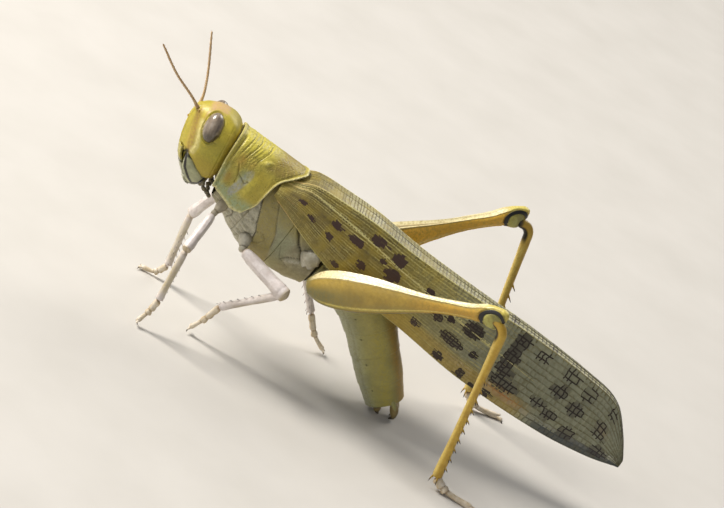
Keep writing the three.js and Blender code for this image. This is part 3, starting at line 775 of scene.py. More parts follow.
# Thorax: three rings with their seams, in the trunk's axes
backHeight = curve([
    (1.9, -0.85), (6.3, -0.95), (6.5, -1.5), (8.2, -1.7), (10, -1.7), (12, -1.6), (17.3, -1.5)])
bellyHeight = curve([
    (1.9, -9.6), (4.5, -10.8), (6.5, -11.9), (8.5, -12.6), (12, -12.8), (15, -12.7), (17.3, -12.1)])
flankWidth = curve([(1.9, 3.1), (6.3, 3.35), (6.5, 3.75), (12, 3.8), (17.3, 3.6)])
thoraxRings = {"prothorax": (1.9, 6.35), "mesothorax": (6.35, 11.95), "metathorax": (11.95, 17.3)}
seams = [  # (half width, depth, line through (along, height) spots)
    (0.09, 0.18, [(6.6, -4.4), (7.55, -6.5), (8.15, -8), (8.7, -9), (8.85, -9.8), (8.7, -10.7)]),
    (0.07, 0.1, [(8.7, -4.0), (10.1, -6.5), (10.9, -7.9), (11.3, -9.4)]),
    (0.2, 0.34, [(11.9, -4.5), (13.15, -6.1), (13.8, -7.1), (14.8, -7.9), (15.2, -8.6)]),
    (0.08, 0.1, [(7.0, -10.7), (7.8, -10), (8.65, -9.4)]),
    (0.08, 0.1, [(7.0, -11.3), (7.9, -10.7), (8.7, -10.1)]),
    (0.08, 0.12, [(7.6, -11.9), (8.2, -11.3), (8.7, -10.7)]),
    (0.08, 0.08, [(9, -10.4), (9.8, -10.1), (10.2, -9.2), (9.5, -8.6), (8.8, -8.9)]),
    (0.1, 0.12, [(13.2, -10), (13.7, -9.3), (14.9, -8.6)]),
    (0.14, 0.14, [(4.6, -8.0), (5.2, -9.3), (4.9, -10.6)]),
    (0.07, 0.08, [(12.2, -8.6), (13, -10), (14.6, -10.6)]),
    (0.1, 0.08, [(14.4, -3.4), (15.3, -5.6), (16.6, -6.4)])]
hipRidge = [(13.9, -9.8), (15.2, -9)]
frontSeam = curve([(-11, 8.6), (-9.8, 8.85), (-9, 8.7), (-8, 8.15), (-6.5, 7.55), (-4.4, 6.6)])
middleSeam = curve([(-11, 11.9), (-9.4, 11.3), (-7.9, 10.9), (-6.5, 10.1), (-4, 8.7)])


def seamShare(along, height, width, line):
    return hump(nearLine((along, height), line), 0, width * 1.4)


def thoraxSkin(start, end):
    def skin(turn, share):
        along = start + share * (end - start)
        size = min(1, 0.97 + 5 * min(share, 1 - share))
        top, foot, half = backHeight(along), bellyHeight(along), flankWidth(along)
        middle = top * 0.4 + foot * 0.6
        facing = cos(turn)
        edge = top if facing > 0 else foot
        return Vector((size * half * rounded(sin(turn), 0.85), along,
                       middle + size * abs(facing) ** 0.9 * (edge - middle)))
    return skin


def foldWave(spot):
    # fine level folds on the front of the flank
    ahead = ramp(8.6, 7.6, spot.y) * ramp(-5.5, -6.5, spot.z)
    return ahead * sin(spot.z * 9 + 1.5 * spot.y + 2 * wander(spot, 1.2))


def thoraxCarve(spot):
    outward = Vector((spot.x, 0, (spot.z + 6.5) * 0.4)).normalized()
    rise = 0.05 * wander(spot, 0.8) + 0.1 * wander(spot, 1.9, 2) + 0.015 * wander(spot, 0.25, 6)
    for width, depth, line in seams:
        rise -= depth * seamShare(spot.y, spot.z, width, line) * ramp(1.2, 2.4, abs(spot.x))
    rise += 0.07 * foldWave(spot)
    rise += 0.1 * hump(nearLine((spot.y, spot.z), hipRidge), 0, 0.4) * ramp(1.2, 2.4, abs(spot.x))
    return spot + outward * rise


thoraxMarks = {
    # painted shade in the seams and in the troughs of the folds
    "crease": lambda s: ramp(1.2, 2.4, abs(s.x)) * max(
        0.45 * max(-foldWave(s), 0) ** 6,
        *(seamShare(s.y, s.z, width * 0.8, line) * min(depth * 5, 1) for width, depth, line in seams)),
    "white": lambda s: max(ramp(0.1, -0.15, s.y - frontSeam(s.z)) * ramp(3.2, 4.8, s.y),
                           hump(nearLine((s.y, s.z), hipRidge), 0, 0.5)),
    "olive": lambda s: ramp(-0.05, 0.2, s.y - frontSeam(s.z)) * max(
        ramp(0.1, -0.2, s.y - middleSeam(s.z)), 0.9 * ramp(-7.6, -5.8, s.z), 0.55 * ramp(-9.4, -11.4, s.z)),
    "green": lambda s: ramp(-0.1, 0.2, s.y - middleSeam(s.z)) * ramp(14, 12.6, s.y),
}
thoraxFinish = shellFinish("flankGrey", "aaa283", "847d5e", [
    ("white", "c4bfa9", 0.75), ("green", "9ea07c", 0.75), ("olive", "a2924d", 0.8),
    ("crease", "2c2718", 0.85)], cloudSize=1.1, rough=0.5, coat=0.06, depth=0.035)
for name, (start, end) in thoraxRings.items():
    ring = rollGrid(180, 70, thoraxSkin(start, end))
    mark(ring, **thoraxMarks)
    reshape(ring, thoraxCarve)
    finishPiece(ring, name + "Ring", "thorax_shell", name, finish=thoraxFinish, place=trunkPlace)


# Wing covers: cells between raised veins, folded over the back along a ridge
print("modelling the wings")
wing = {
    "root": 7.6, "tip": 63.8, "edge": 0.05, "foldWide": 2.2, "flankWide": 9.4, "foldCells": 2,
    "flankCells": 24, "cells": 106, "longer": 0.3, "strayWide": 0.06, "strayLong": 0.11,
    "vein": 0.075, "sink": -0.04, "thick": 0.09, "seed": 5,
}
ridgeHeight = curve([(7.6, -1.9), (8.6, -1.35), (9.6, -0.9), (11.2, -0.1), (15, 0.25), (20, 0.4),
    (26, 0.05), (31, 0), (38, 0.15), (44, 0.35), (54, 0.05), (58.5, -0.8), (61.9, -3.9), (63.8, -6.3)])
costaHeight = curve([(7.6, -3.6), (18.7, -7.05), (30, -8), (40, -9.2), (52.4, -9.15), (59.7, -8.2),
    (63.8, -7.1)])
ridgeOut = curve([(7.6, 2.4), (20, 2.1), (30, 1.7), (42, 1.25), (54, 0.95), (63.8, 0.8)])
flankOut = curve([(7.6, 4.2), (16, 4.45), (24, 4.45), (30, 4.1), (41, 3), (52, 2.1), (63.8, 1.2)])


def wingSpot(across, along):
    # across: -1 at the inner edge, 0 on the ridge, 1 at the lower edge
    ridge, costa, out = ridgeHeight(along), costaHeight(along), ridgeOut(along)
    if across < 0:
        return Vector((out + across * (out - wing["edge"]), along, ridge - 0.15 * across))
    bulge = sin(min(1.15 * across, 1) * pi / 2)
    return Vector((out + bulge * (flankOut(along) - out), along, ridge + across * (costa - ridge)))


def wingPlace(across, along, lift):
    spot = wingSpot(across, along)
    step = 0.02
    sideways = wingSpot(across + step, along) - wingSpot(across - step, along)
    ahead = wingSpot(across, along + step) - wingSpot(across, along - step)
    return spot + ahead.cross(sideways).normalized() * -lift


def acrossOf(flat):
    return flat / wing["foldWide"] if flat < 0 else flat / wing["flankWide"]


# dark spots: (along, across, half length, half height, open), open ones keep pale cell middles
spots = [
    (11, 0.45, 0.5, 0.05, 0), (13, 0.6, 0.5, 0.05, 0), (16, 0.37, 0.6, 0.06, 0), (16, 0.6, 0.5, 0.05, 0),
    (19.2, 0.37, 1.1, 0.05, 0), (21.4, 0.17, 1.0, 0.06, 0), (21.3, 0.6, 0.6, 0.05, 0),
    (18.6, 0.87, 0.5, 0.04, 0), (23.2, 0.34, 0.4, 0.03, 0), (25, 0.2, 0.9, 0.09, 0),
    (25.2, 0.43, 1.1, 0.09, 0), (30.5, 0.3, 0.7, 0.06, 0), (31, 0.77, 0.6, 0.05, 0.2),
    (33, 0.5, 0.8, 0.05, 0.2), (34.5, 0.42, 0.5, 0.05, 0), (36.2, 0.64, 1.8, 0.07, 0.3),
    (36, 0.93, 0.7, 0.06, 0), (37.8, 0.36, 1.4, 0.1, 0.1), (39.6, 0.62, 0.5, 0.04, 0),
    (39.8, 0.93, 0.6, 0.06, 0.1), (42, 0.99, 0.5, 0.04, 0), (44, 0.96, 0.6, 0.05, 0),
    (43.8, 0.14, 1.0, 0.12, 0.2), (43.7, 0.36, 1.1, 0.14, 0.15), (43.9, 0.55, 1.2, 0.08, 0.2),
    (45, 0.71, 2.0, 0.09, 0.3), (47, 0.13, 1.0, 0.08, 0.9), (51.4, 0.37, 1.1, 0.1, 0.35),
    (50, 0.66, 1.1, 0.06, 0.5), (52.2, 0.72, 1.1, 0.07, 0.4), (51.5, 0.12, 1.2, 0.1, 0.85),
    (54.8, 0.18, 0.9, 0.13, 0.7), (54.5, 0.46, 1.1, 0.1, 0.4), (55.5, 0.81, 1.1, 0.09, 0.4),
    (58.8, 0.12, 0.7, 0.09, 0.8), (58.6, 0.4, 0.8, 0.08, 0.6), (59, 0.55, 1.0, 0.07, 0.7),
    (60.4, 0.8, 1.1, 0.12, 0.4), (47.6, -0.5, 0.7, 0.3, 0.7), (41.5, -0.5, 0.7, 0.3, 0.5)]
paleVein = curve([(8, 0.1), (10, 0.15), (24, 0.27), (40, 0.4), (50, 0.47)])
mainVeins = [  # (radius, start, end, across at each)
    (0.1, 8.5, 62.5, curve([(8.5, 0.0), (62.5, 0.0)])), (0.11, 8.2, 50, paleVein),
    (0.07, 9, 61, curve([(9, 0.3), (24, 0.42), (61, 0.55)])),
    (0.07, 9, 60, curve([(9, 0.42), (24, 0.55), (60, 0.68)])),
    (0.09, 9, 57, curve([(9, 0.62), (24, 0.72), (45, 0.8), (57, 0.93)])),
    (0.08, 9.5, 52, curve([(9.5, 0.8), (30, 0.88), (52, 0.97)])),
    (0.1, 8.2, 63, curve([(8.2, 1), (63, 1)])), (0.06, 12, 58, curve([(12, -0.5), (58, -0.45)])),
    (0.07, 9, 62, curve([(9, -0.97), (62, -0.97)])), (0.06, 26, 59, curve([(26, 0.12), (59, 0.2)]))]
cellEdges = [-wing["foldWide"] * (1 - i / wing["foldCells"]) for i in range(wing["foldCells"])]
cellEdges += [wing["flankWide"] * i / wing["flankCells"] for i in range(wing["flankCells"] + 1)]
dice = random.Random(wing["seed"])
cover = flatGrid(len(cellEdges) - 1, wing["cells"])
for vertex in cover.data.vertices:
    column = round((vertex.co.x + 1) / 2 * (len(cellEdges) - 1))
    row = round((vertex.co.y + 1) / 2 * wing["cells"])
    inside = 0 < row < wing["cells"] and 0 < column < len(cellEdges) - 1
    way = row / wing["cells"]
    far = way * (1 - wing["longer"]) + wing["longer"] * way ** 2
    across, along = cellEdges[column], wing["root"] + far * (wing["tip"] - wing["root"])
    if inside:
        across += dice.uniform(-wing["strayWide"], wing["strayWide"])
        along += dice.uniform(-wing["strayLong"], wing["strayLong"])
    vertex.co.x, vertex.co.y = across, along
bpy.ops.object.mode_set(mode="EDIT")
bpy.ops.mesh.select_all(action="DESELECT")
bpy.ops.mesh.select_mode(type="EDGE")
bpy.ops.object.mode_set(mode="OBJECT")
# edges to dissolve: wider cells towards the tip, and here and there a longer one
for edge in cover.data.edges:
    first, second = (cover.data.vertices[i].co for i in edge.vertices)
    crossing = abs(first.x - second.x) > abs(first.y - second.y)
    column = round(first.x * wing["flankCells"] / wing["flankWide"])
    onFlank = first.x > 0.2
    wider = not crossing and column % 2 and onFlank and 40 + 5 * dice.random() < first.y < 62.5
    chance = 0.22 if first.y < 38 else 0.08
    edge.select = wider or crossing and onFlank and 8.5 < first.y < 62 and dice.random() < chance
bpy.ops.object.mode_set(mode="EDIT")
bpy.ops.mesh.dissolve_edges(use_verts=False)
bpy.ops.mesh.select_mode(type="FACE")
bpy.ops.mesh.select_all(action="SELECT")
bpy.ops.mesh.inset(use_individual=True, thickness=wing["vein"], depth=wing["sink"])
bpy.ops.object.mode_set(mode="OBJECT")


def spotShare(along, across):
    # how far inside a dark spot, and how open that spot is
    best, openness = -1, 0
    for middle, height, halfLong, halfHigh, opened in spots:
        reach = hypot((along - middle) / (halfLong + 0.15), (across - height) / (halfHigh + 0.012))
        if 1 - reach > best:
            best, openness = 1 - reach, opened
    return best, openness


def markFaces(piece, **rules):
    # a number for each face, from its middle on the flat wing and its kind
    kinds = []  # 2 cell, 1 lengthwise vein, 0 cross vein
    for face in piece.data.polygons:
        corners = [piece.data.vertices[i].co for i in face.vertices]
        wide, long = (max(c[axis] for c in corners) - min(c[axis] for c in corners) for axis in (0, 1))
        kinds.append(2 if face.select else 1 if long > wide else 0)
    for name, rule in rules.items():
        layer = piece.data.attributes.new(name, "FLOAT", "FACE")
        for face, item in zip(piece.data.polygons, layer.data):
            item.value = rule(face.center.y, acrossOf(face.center.x), kinds[face.index])


cellDice = {}


def cellLuck(along, across):
    key = (round(along / 0.5), round(across * 24))
    if key not in cellDice:
        cellDice[key] = dice.random()
    return cellDice[key]


def drift(along, across, seed):
    return min(max(0.5 + 1.1 * wander((along, across * 9, 0), 2.2, seed), 0), 1)


def spotPaint(along, across, kind):
    share, openness = spotShare(along, across)
    share = ramp(-0.02, 0.1, share + 0.22 * (cellLuck(along, across) - 0.5))
    return share * (1 - openness * 0.9 if kind == 2 else 1)


def clearness(along, across, kind):
    if kind < 2:
        return 0.12 * ramp(30, 46, along)
    share = 0.06 + 0.3 * ramp(24, 46, along)
    if across < 0:
        share = max(share, 0.35 * ramp(16, 24, along))
    share *= 1 - 0.9 * hump(across, 1, 0.25)
    return share * (1 - spotPaint(along, across, kind)) * (0.85 + 0.3 * cellLuck(along, across))


def palerVein(along, across, kind):
    # pale lengthwise veins, each column of cells with its own strength
    if kind != 1:
        return 0
    column = 0.25 + 0.75 * (round(across * 24) * 7 % 5) / 4
    upper = (0.4 + 0.6 * drift(along, across, 4)) * ramp(0.4, 0.26, across)
    return ramp(48, 36, along) * column * max(drift(along, across, 11), upper)


def darkStreak(along, across, kind):
    # lengthwise shadows near the root: (middle, half width, strength)
    lines = ((0.21, 0.07, 1), (0.06, 0.045, 1), (0.4, 0.05, 0.7), (0.7, 0.05, 0.7))
    share = max(strength * hump(across, middle, half) for middle, half, strength in lines)
    share = max(share, 0.6 * ramp(0.3, 0.22, across))
    return share * ramp(34, 18, along) * (0.5 + 0.5 * drift(along, across, 9))


wingMarks = {
    "vein": lambda b, s, kind: (0.4 * drift(b, s, 3) + 0.35 * ramp(30, 46, b),
                                0.3 * drift(b, s, 7) + 0.7 * ramp(32, 46, b), 0)[kind],
    "palerVein": palerVein,
    "spot": spotPaint,
    "clear": clearness,
    "rear": lambda b, s, kind: ramp(23, 43, b),
    "warm": lambda b, s, kind: ramp(30, 15, b) * (0.6 + 0.4 * hump(s, 0.5, 0.5)),
    "streak": darkStreak,
    "costal": lambda b, s, kind: 0.8 * ramp(0.7, 0.84, s) * ramp(20, 28, b) * ramp(50.5, 47.5, b),
    "ember": lambda b, s, kind: max(hump(s, 0.84, 0.07) * hump(b, 46, 4.5),
                                    0.3 * hump(s, 0.45, 0.12) * hump(b, 59, 1.6)),
    # painted shade: a dark blue-grey band along the lower rear edge
    "dusk": lambda b, s, kind: ramp(0.84, 0.92, s + 0.07 * ramp(53, 61, b)) * ramp(49.5, 52.5, b),
    "creamVein": lambda b, s, kind: 0.0 if kind == 2 else max(
        hump(s, 0, 0.04) * ramp(60, 54, b), hump(s, paleVein(b), 0.035) * ramp(46, 40, b)),
    "comb": lambda b, s, kind: (0.0 if kind == 2 or s > 0.03
                                else ramp(14, 24, b) * (0.6 + 0.4 * drift(b, s, 5))),
    "combCell": lambda b, s, kind: ramp(10, 20, b) if kind == 2 and s < 0 else 0.0,
    "luck": lambda b, s, kind: cellLuck(b, s) if kind == 2 else 0.5,
}
markFaces(cover, **wingMarks)
reshape(cover, lambda s: wingPlace(acrossOf(s.x), s.y, s.z * (0.35 + 0.65 * ramp(22, 40, s.y))))
closeUp(cover)
addModifier(cover, "SOLIDIFY", thickness=wing["thick"], offset=-1)

wingFinish = Finish("wingCover", Coat_Roughness=0.3, Specular_IOR_Level=0.4, Subsurface_Weight=0.08,
                    Subsurface_Radius=(0.001, 0.0008, 0.0005))
rearward = wingFinish.marked("rear")
# The lower edge layer is painted shade along the lower rear margin.
wingPaint = wingFinish.painted(wingFinish.blend(rearward, "988931", "a4a68b"), [
    ("warm", "634d24", 0.8), ("streak", "3a2c1c", 0.85), ("luck", "cfc68c", 0.16), ("vein", "4c4628", 0.8),
    ("palerVein", "d3c87c", 0.75), ("costal", "bb9a33", 0.8), ("ember", "a8621f", 0.75),
    ("creamVein", "e2d892", 0.95), ("combCell", "cfc99c", 0.75), ("comb", "37321f", 0.85),
    ("dusk", "2f3840", 0.85)])
mottle = wingFinish.between(wingFinish.cloud(1.6, 4), 0.4, 0.75)
stains = wingFinish.between(wingFinish.cloud(0.45, 5), 0.45, 0.65)
wingPaint = wingFinish.blend(mottle * 0.4, wingPaint, "665a2c")
wingPaint = wingFinish.blend(stains * 0.5 * (1 - rearward), wingPaint, "b09a38")
wingPaint = wingFinish.painted(wingPaint, [("spot", wingFinish.blend(rearward, "44302b", "271b17"), 0.97)])
wingFinish.feed("Base Color", wingPaint)
wingFinish.feed("Roughness", 0.42 + 0.2 * mottle)
wingFinish.feed("Alpha", 1 - wingFinish.marked("clear"))
wingFinish.feed("Coat Weight", 0.15)
wingFinish.bump(wingFinish.cloud(5, 3), 0.02)

veinFinish = shellFinish("wingVein", "b5ab5f", "8c8248", [
    ("cream", "ddd591", 0.9), ("darkEnd", "4e4c33", 0.85), ("root", "b58a4a", 0.7)], rough=0.4, coat=0.15)
ribs = []
for number, (radius, start, end, across) in enumerate(mainVeins):
    def ribSkin(turn, share):
        along = start + share * (end - start)
        size = radius * (1 - 0.45 * share) * min(1, 12 * (1 - share) + 0.2)
        base = wingPlace(across(along), along, 0.01)
        lift = (wingPlace(across(along), along, 1) - base).normalized()
        side = Vector((0, 1, 0)).cross(lift).normalized()
        return base + lift * size * cos(turn) * 0.9 + side * size * sin(turn)
    rib = rollGrid(8, 110, ribSkin)
    cream = 1.0 if number in (0, 1) else 0.3
    mark(rib, cream=lambda s: cream * ramp(56, 46, s.y), darkEnd=lambda s: ramp(36, 56, s.y),
         root=lambda s: ramp(15, 9, s.y))
    ribs.append(rib)
ribs = joinPieces(ribs)
cover.data.materials.append(wingFinish.material)
ribs.data.materials.append(veinFinish)
cover = joinPieces([cover, ribs])
finishPair(cover, "{side}WingCover", "forewing", "tegmen", place=trunkPlace)


# Hind wings: thin pleated fans folded away inside the covers
fan = {"start": 13, "end": 59, "top": 0.1, "foot": 0.82, "depth": 0.62, "pleats": 9, "thick": 0.05}
fanFinish = Finish("wingFan", Coat_Roughness=0.3, Specular_IOR_Level=0.5)
smoky = fanFinish.between(fanFinish.cloud(0.9, 3), 0.35, 0.7)
fanPaint = fanFinish.blend(smoky, "b9b37c", "8f8c62")
fanPaint = fanFinish.blend(fanFinish.marked("vein") * 0.8, fanPaint, "4c4630")
fanFinish.feed("Base Color", fanPaint)
fanFinish.feed("Roughness", 0.35 + 0.2 * smoky)
fanFinish.feed("Alpha", 0.62 + 0.38 * fanFinish.marked("vein"))
fanFinish.bump(fanFinish.cloud(4, 2), 0.02)
fanWing = flatGrid(fan["pleats"] * 2, 60)
bpy.ops.object.mode_set(mode="EDIT")
bpy.ops.mesh.select_all(action="SELECT")
bpy.ops.mesh.inset(use_individual=True, thickness=0.006, depth=0)
bpy.ops.object.mode_set(mode="OBJECT")
layer = fanWing.data.attributes.new("vein", "FLOAT", "FACE")
for face, item in zip(fanWing.data.polygons, layer.data):
    item.value = 0.0 if face.select else 1.0


def fanSpot(spot):
    along = fan["start"] + (spot.y + 1) / 2 * (fan["end"] - fan["start"])
    pleat = 0.1 * cos(pi * fan["pleats"] * 2 * (spot.x + 1) / 2)
    narrow = 1 - 0.45 * ramp(-0.6, -1, spot.y) - 0.25 * ramp(0.75, 1, spot.y)
    across = fan["top"] + (0.5 + 0.5 * spot.x * narrow) * (fan["foot"] - fan["top"])
    return wingPlace(across, along, -fan["depth"] - pleat)


reshape(fanWing, fanSpot)
closeUp(fanWing)
addModifier(fanWing, "SOLIDIFY", thickness=fan["thick"], offset=0)
finishPair(fanWing, "{side}WingFan", "hindwing", "hindwing", finish=fanFinish.material, place=trunkPlace)


# Abdomen: eight overlapping rings that bend down to the floor, and the egg-laying valves
print("modelling the abdomen")
abdomen = {
    "path": [(0, -3.9, 16.56), (0, -2.4, 16.2), (0, 0.3, 14.9), (0, 2.8, 13.0), (0, 4.9, 10.7), (0, 6.9, 8),
             (0, 9.3, 4.8), (0, 11.5, 1.9)],
    "deep": [5.0, 4.7, 4.25, 3.85, 3.45, 3.2, 3, 2.5],
    "wide": [3.45, 3.5, 3.45, 3.35, 3.2, 3.05, 2.8, 2.3],
    "ends": [0, 0.1, 0.21, 0.33, 0.46, 0.59, 0.73, 0.87, 1],
}
abdomenPath = smoothPath(abdomen["path"])
abdomenDeep, abdomenWide = evenly(abdomen["deep"]), evenly(abdomen["wide"])
# The crease layer is painted shade between and along the rings; the pit layer is the dark spiracles, with
# painted shade round the hearing patch.
abdomenFinish = shellFinish("abdomenGreen", "a9a262", "898655", [
    ("dorsal", "b08936", 0.85), ("ventral", "a3a389", 0.8), ("gold", "aa982f", 0.6),
    ("crease", "55482a", 0.75), ("pit", "1f1811", 0.9)], cloudSize=0.55, rough=0.42, coat=0.12, depth=0.03)


def segmentSkin(start, end):
    def skin(turn, share):
        way = start + share * (end - start)
        along = (abdomenPath(min(way + 0.01, 1)) - abdomenPath(max(way - 0.01, 0))).normalized()
        side = Vector((0, 0.6, 0.8)).cross(along).normalized()
        top = along.cross(side)
        closing = min(1, (min(share, 1 - share) / 0.025 + 0.001)) ** 0.3
        size = closing * (0.965 + 0.035 * share + 0.004 * sin(share * 40) * (1 - share))
        return (abdomenPath(way) + side * size * abdomenWide(way) * rounded(sin(turn), 0.92)
                + top * size * abdomenDeep(way) * rounded(cos(turn), 0.92))
    return skin


def fromTop(s):
    turn = (s.x + 0.5) * 360
    return min(turn, 360 - turn)


spiracle = {"turn": 108, "share": 0.26, "tall": 4, "long": 0.06}
drumSkin = {"turn": 84, "share": 0.45, "tall": 17, "long": 0.36}  # the hearing patch on the first ring
for number in range(8):
    start, end = abdomen["ends"][number:number + 2]
    skin = segmentSkin(max(start - 0.006, 0), min(end + 0.012, 1))
    ring = flatGrid(120, 44, 1)

    def patchReach(s, patch):
        # 1 on the edge of an oval patch
        down, back = fromTop(s) - patch["turn"], s.y + 0.5 - patch["share"]
        return hypot(down / patch["tall"], back / patch["long"])

    def pitShare(s):
        return hump(patchReach(s, spiracle), 0, 1)

    def drumShare(s):
        return hump(patchReach(s, drumSkin), 0.95, 0.2) if number == 0 else 0

    def ringCarve(s):
        spot = skin((s.x + 0.5) * tau, s.y + 0.5)
        outward = (spot - abdomenPath(start + (s.y + 0.5) * (end - start))).normalized()
        rise = 0.03 * wander(spot, 0.8, number) + 0.05 * wander(spot, 2.2) + 0.015 * wander(spot, 0.3, 8)
        rise -= 0.07 * pitShare(s)
        rise -= 0.12 * drumShare(s)
        return spot + outward * (rise - 0.06 * hump(fromTop(s), 128, 4))

    mark(ring,
         dorsal=lambda s: ramp(62, 30, fromTop(s)),
         ventral=lambda s: ramp(100, 135, fromTop(s)),
         gold=lambda s: hump(fromTop(s), 75, 40) * ramp(2, 5, number),
         # painted shade where each ring slides under the one before, along its rear edge and in the side
         # groove
         crease=lambda s: max(0.8 * ramp(0.07, 0.02, s.y + 0.5), 0.35 * ramp(0.97, 0.99, s.y + 0.5),
                              0.3 * hump(fromTop(s), 128, 3)),
         # dark spiracles, and painted shade in the groove round the hearing patch
         pit=lambda s: max(pitShare(s), 0.7 * drumShare(s)))
    reshape(ring, ringCarve)
    closeUp(ring)
    count = str(number + 1)
    finishPiece(ring, "abdomenRing" + count, "abdomen_shell", "abdomen_" + count, finish=abdomenFinish)

valveFinish = shellFinish("valveHorn", "a8935c", "7d6a3c", [
    ("tipward", "1d140d", 0.95)], rough=0.35, coat=0.25)
valves = {
    "upper": ([(0.62, 12.55, 2.5), (0.7, 13.2, 1.3), (0.62, 13.35, 0.55), (0.5, 13.0, 0.02)],
              [0.62, 0.6, 0.45, 0.28, 0.08]),
    "lower": ([(0.6, 11.0, 1.15), (0.65, 11.1, 0.7), (0.6, 11.25, 0.35), (0.5, 11.6, 0.02)],
              [0.55, 0.5, 0.4, 0.25, 0.08]),
}
for level, (path, sizes) in valves.items():
    valve = beadedLimb(path, (1, 0, 0), sizes, 1, 18, 20)
    for item in valve.data.attributes["tipward"].data:
        item.value = ramp(0.35, 0.8, item.value)
    pair = joinPieces([copyOf(valve, mirrored=True), valve])
    reshape(pair, lambda s: Vector((s.x, s.y, max(s.z, 0))))
    finishPiece(pair, level + "Valves", "ovipositor", "ovipositor_" + level, finish=valveFinish)
cercusPath = [(1.7, 11.9, 3.1), (2.0, 12.6, 2.6), (2.05, 13.1, 2.0)]
cercus = beadedLimb(cercusPath, (1, 0, 0), [0.42, 0.3, 0.07], 1, 14, 14)
pair = joinPieces([copyOf(cercus, mirrored=True), cercus])
finishPiece(pair, "cerci", "ovipositor", finish=abdomenFinish)


# Legs are modelled straight (x across, y deep, z along in millimetres), then bent onto their joints
print("modelling the legs")
paleLegFinish = shellFinish("legPale", "e2d9d4", "c9bdb5", [
    ("olive", "b8ab70", 0.75), ("joint", "a08a45", 0.75), ("ring", "a8875c", 0.6),
    ("black", "1c1510", 0.95)], cloudSize=0.9, rough=0.42, coat=0.12)
tarsusFinish = shellFinish("footTan", "e0d5c2", "c3b08d", [
    ("ring", "8c6d42", 0.7), ("pad", "c7b08a", 0.6),
    ("black", "1c1510", 0.95)], cloudSize=1.2, rough=0.45, coat=0.1)
# The top layer is a painted highlight; the inner layer is the orange inner face, painted brighter where it
# stands in shade.
femurFinish = shellFinish("femurGold", "b89a3e", "998035", [
    ("top", "efe3b2", 0.88), ("lower", "8f7a3c", 0.75), ("inner", "fac548", 0.95), ("stripe", "6b4a22", 0.8),
    ("chevron", "a27c22", 0.16), ("base", "74744a", 0.8), ("gilt", "cf9d2e", 0.65),
    ("ridge", "e3d06c", 0.9), ("cap", "d9cb66", 0.8), ("lobe", "77783f", 0.9), ("lobeLight", "b5b05a", 0.9),
    ("black", "0e0b08", 1)], cloudSize=0.5, rough=0.36, coat=0.25, patchy=0.5)
tibiaFinish = shellFinish("tibiaGold", "c9a536", "b08a28", [
    ("pale", "e3cf7c", 0.6), ("black", "0f0c09", 1)], cloudSize=0.8, rough=0.38, coat=0.2, patchy=0.3)
hipLayers = [("joint", "4f4730", 0.7), ("ring", "4f4730", 0.5)]
coxaFinish = shellFinish("coxaGrey", "c1bba8", "97907a", hipLayers)
foreCoxaFinish = shellFinish("coxaBrown", "c3b9a2", "9b907a", hipLayers, rough=0.45, coat=0.1)


def shaft(length, deep, wide, sides, rings):
    # a straight limb pulled up ring by ring, closed at both ends
    deepAt, wideAt = evenly(deep), evenly(wide)
    stack = []
    for i in range(rings + 1):
        share = i / rings
        closing = max(min(1, (min(share, 1 - share) * length / 0.35)) ** 0.5, 0.25)
        stack.append((share * length, wideAt(share) * closing, deepAt(share) * closing, 0, 0))
    return stackRings(stack, sides)


def spineShape(length, base, curl=0.15):
    rings = [(-0.12, base * 1.3, base * 1.3, 0, 0), (0.04, base, base, 0, 0),
             (length * 0.4, base * 0.7, base * 0.7, 0, curl * length * 0.2),
             (length * 0.75, base * 0.42, base * 0.42, 0, curl * length * 0.6),
             (length, base * 0.1, base * 0.1, 0, curl * length)]
    piece = stackRings(rings, 8)
    mark(piece, black=lambda s: ramp(length * 0.3, length * 0.62, s.z))
    return piece


def stand(piece, spot, direction, faceWay=(0, 0, 1)):
    # a copy with its z along a direction and its y towards faceWay
    direction = Vector(direction).normalized()
    side = Vector(faceWay).cross(direction)
    side = side.normalized() if side.length > 1e-4 else Vector((1, 0, 0))
    turned = Matrix((side, direction.cross(side), direction)).transposed().to_4x4()
    double = copyOf(piece)
    double.data.transform(Matrix.Translation(spot) @ turned)
    return double


def bend(piece, path, up, length):
    # the straight limb goes round its path, and nothing sinks below the floor
    place = limbPlace(smoothPath(path), up, length)
    reshape(piece, lambda s: place(s.x, s.y, s.z))
    reshape(piece, lambda s: Vector((s.x, s.y, max(s.z, 0.0))))
    return piece


def toward(start, end, distance):
    start, end = Vector(start), Vector(end)
    return start + (end - start).normalized() * distance


# the pieces of a walking leg
walking = {"femur": 7.4, "tibia": 8.6, "foot": 4.0, "coxa": 2.6,
           "spines": 6, "firstSpine": 2.9, "spineStep": 0.95}
walkFemur = shaft(walking["femur"], [0.55, 0.72, 0.76, 0.77, 0.78, 0.9, 0.86],
                  [0.5, 0.62, 0.66, 0.66, 0.64, 0.74, 0.62], 32, 60)
mark(walkFemur,
     joint=lambda s: ramp(walking["femur"] - 0.75, walking["femur"] - 0.25, s.z),
     ring=lambda s: 0.8 * ramp(0.35, 0.1, s.z), black=lambda s: 0.0)


def walkFemurCarve(spot):
    outward = Vector((spot.x, spot.y, 0)).normalized()
    turn = degrees(atan2(spot.x, spot.y))
    ridges = sum(hump(abs(abs(turn) - at), 0, 9) for at in (32, 90, 150))
    knee = hump(spot.z, walking["femur"] - 0.95, 0.14)
    rise = 0.045 * ridges * ramp(0.6, 1.4, spot.z) * ramp(7.2, 6.4, spot.z) - 0.06 * knee
    rise += 0.012 * wander(spot, 0.4)
    return spot + outward * rise


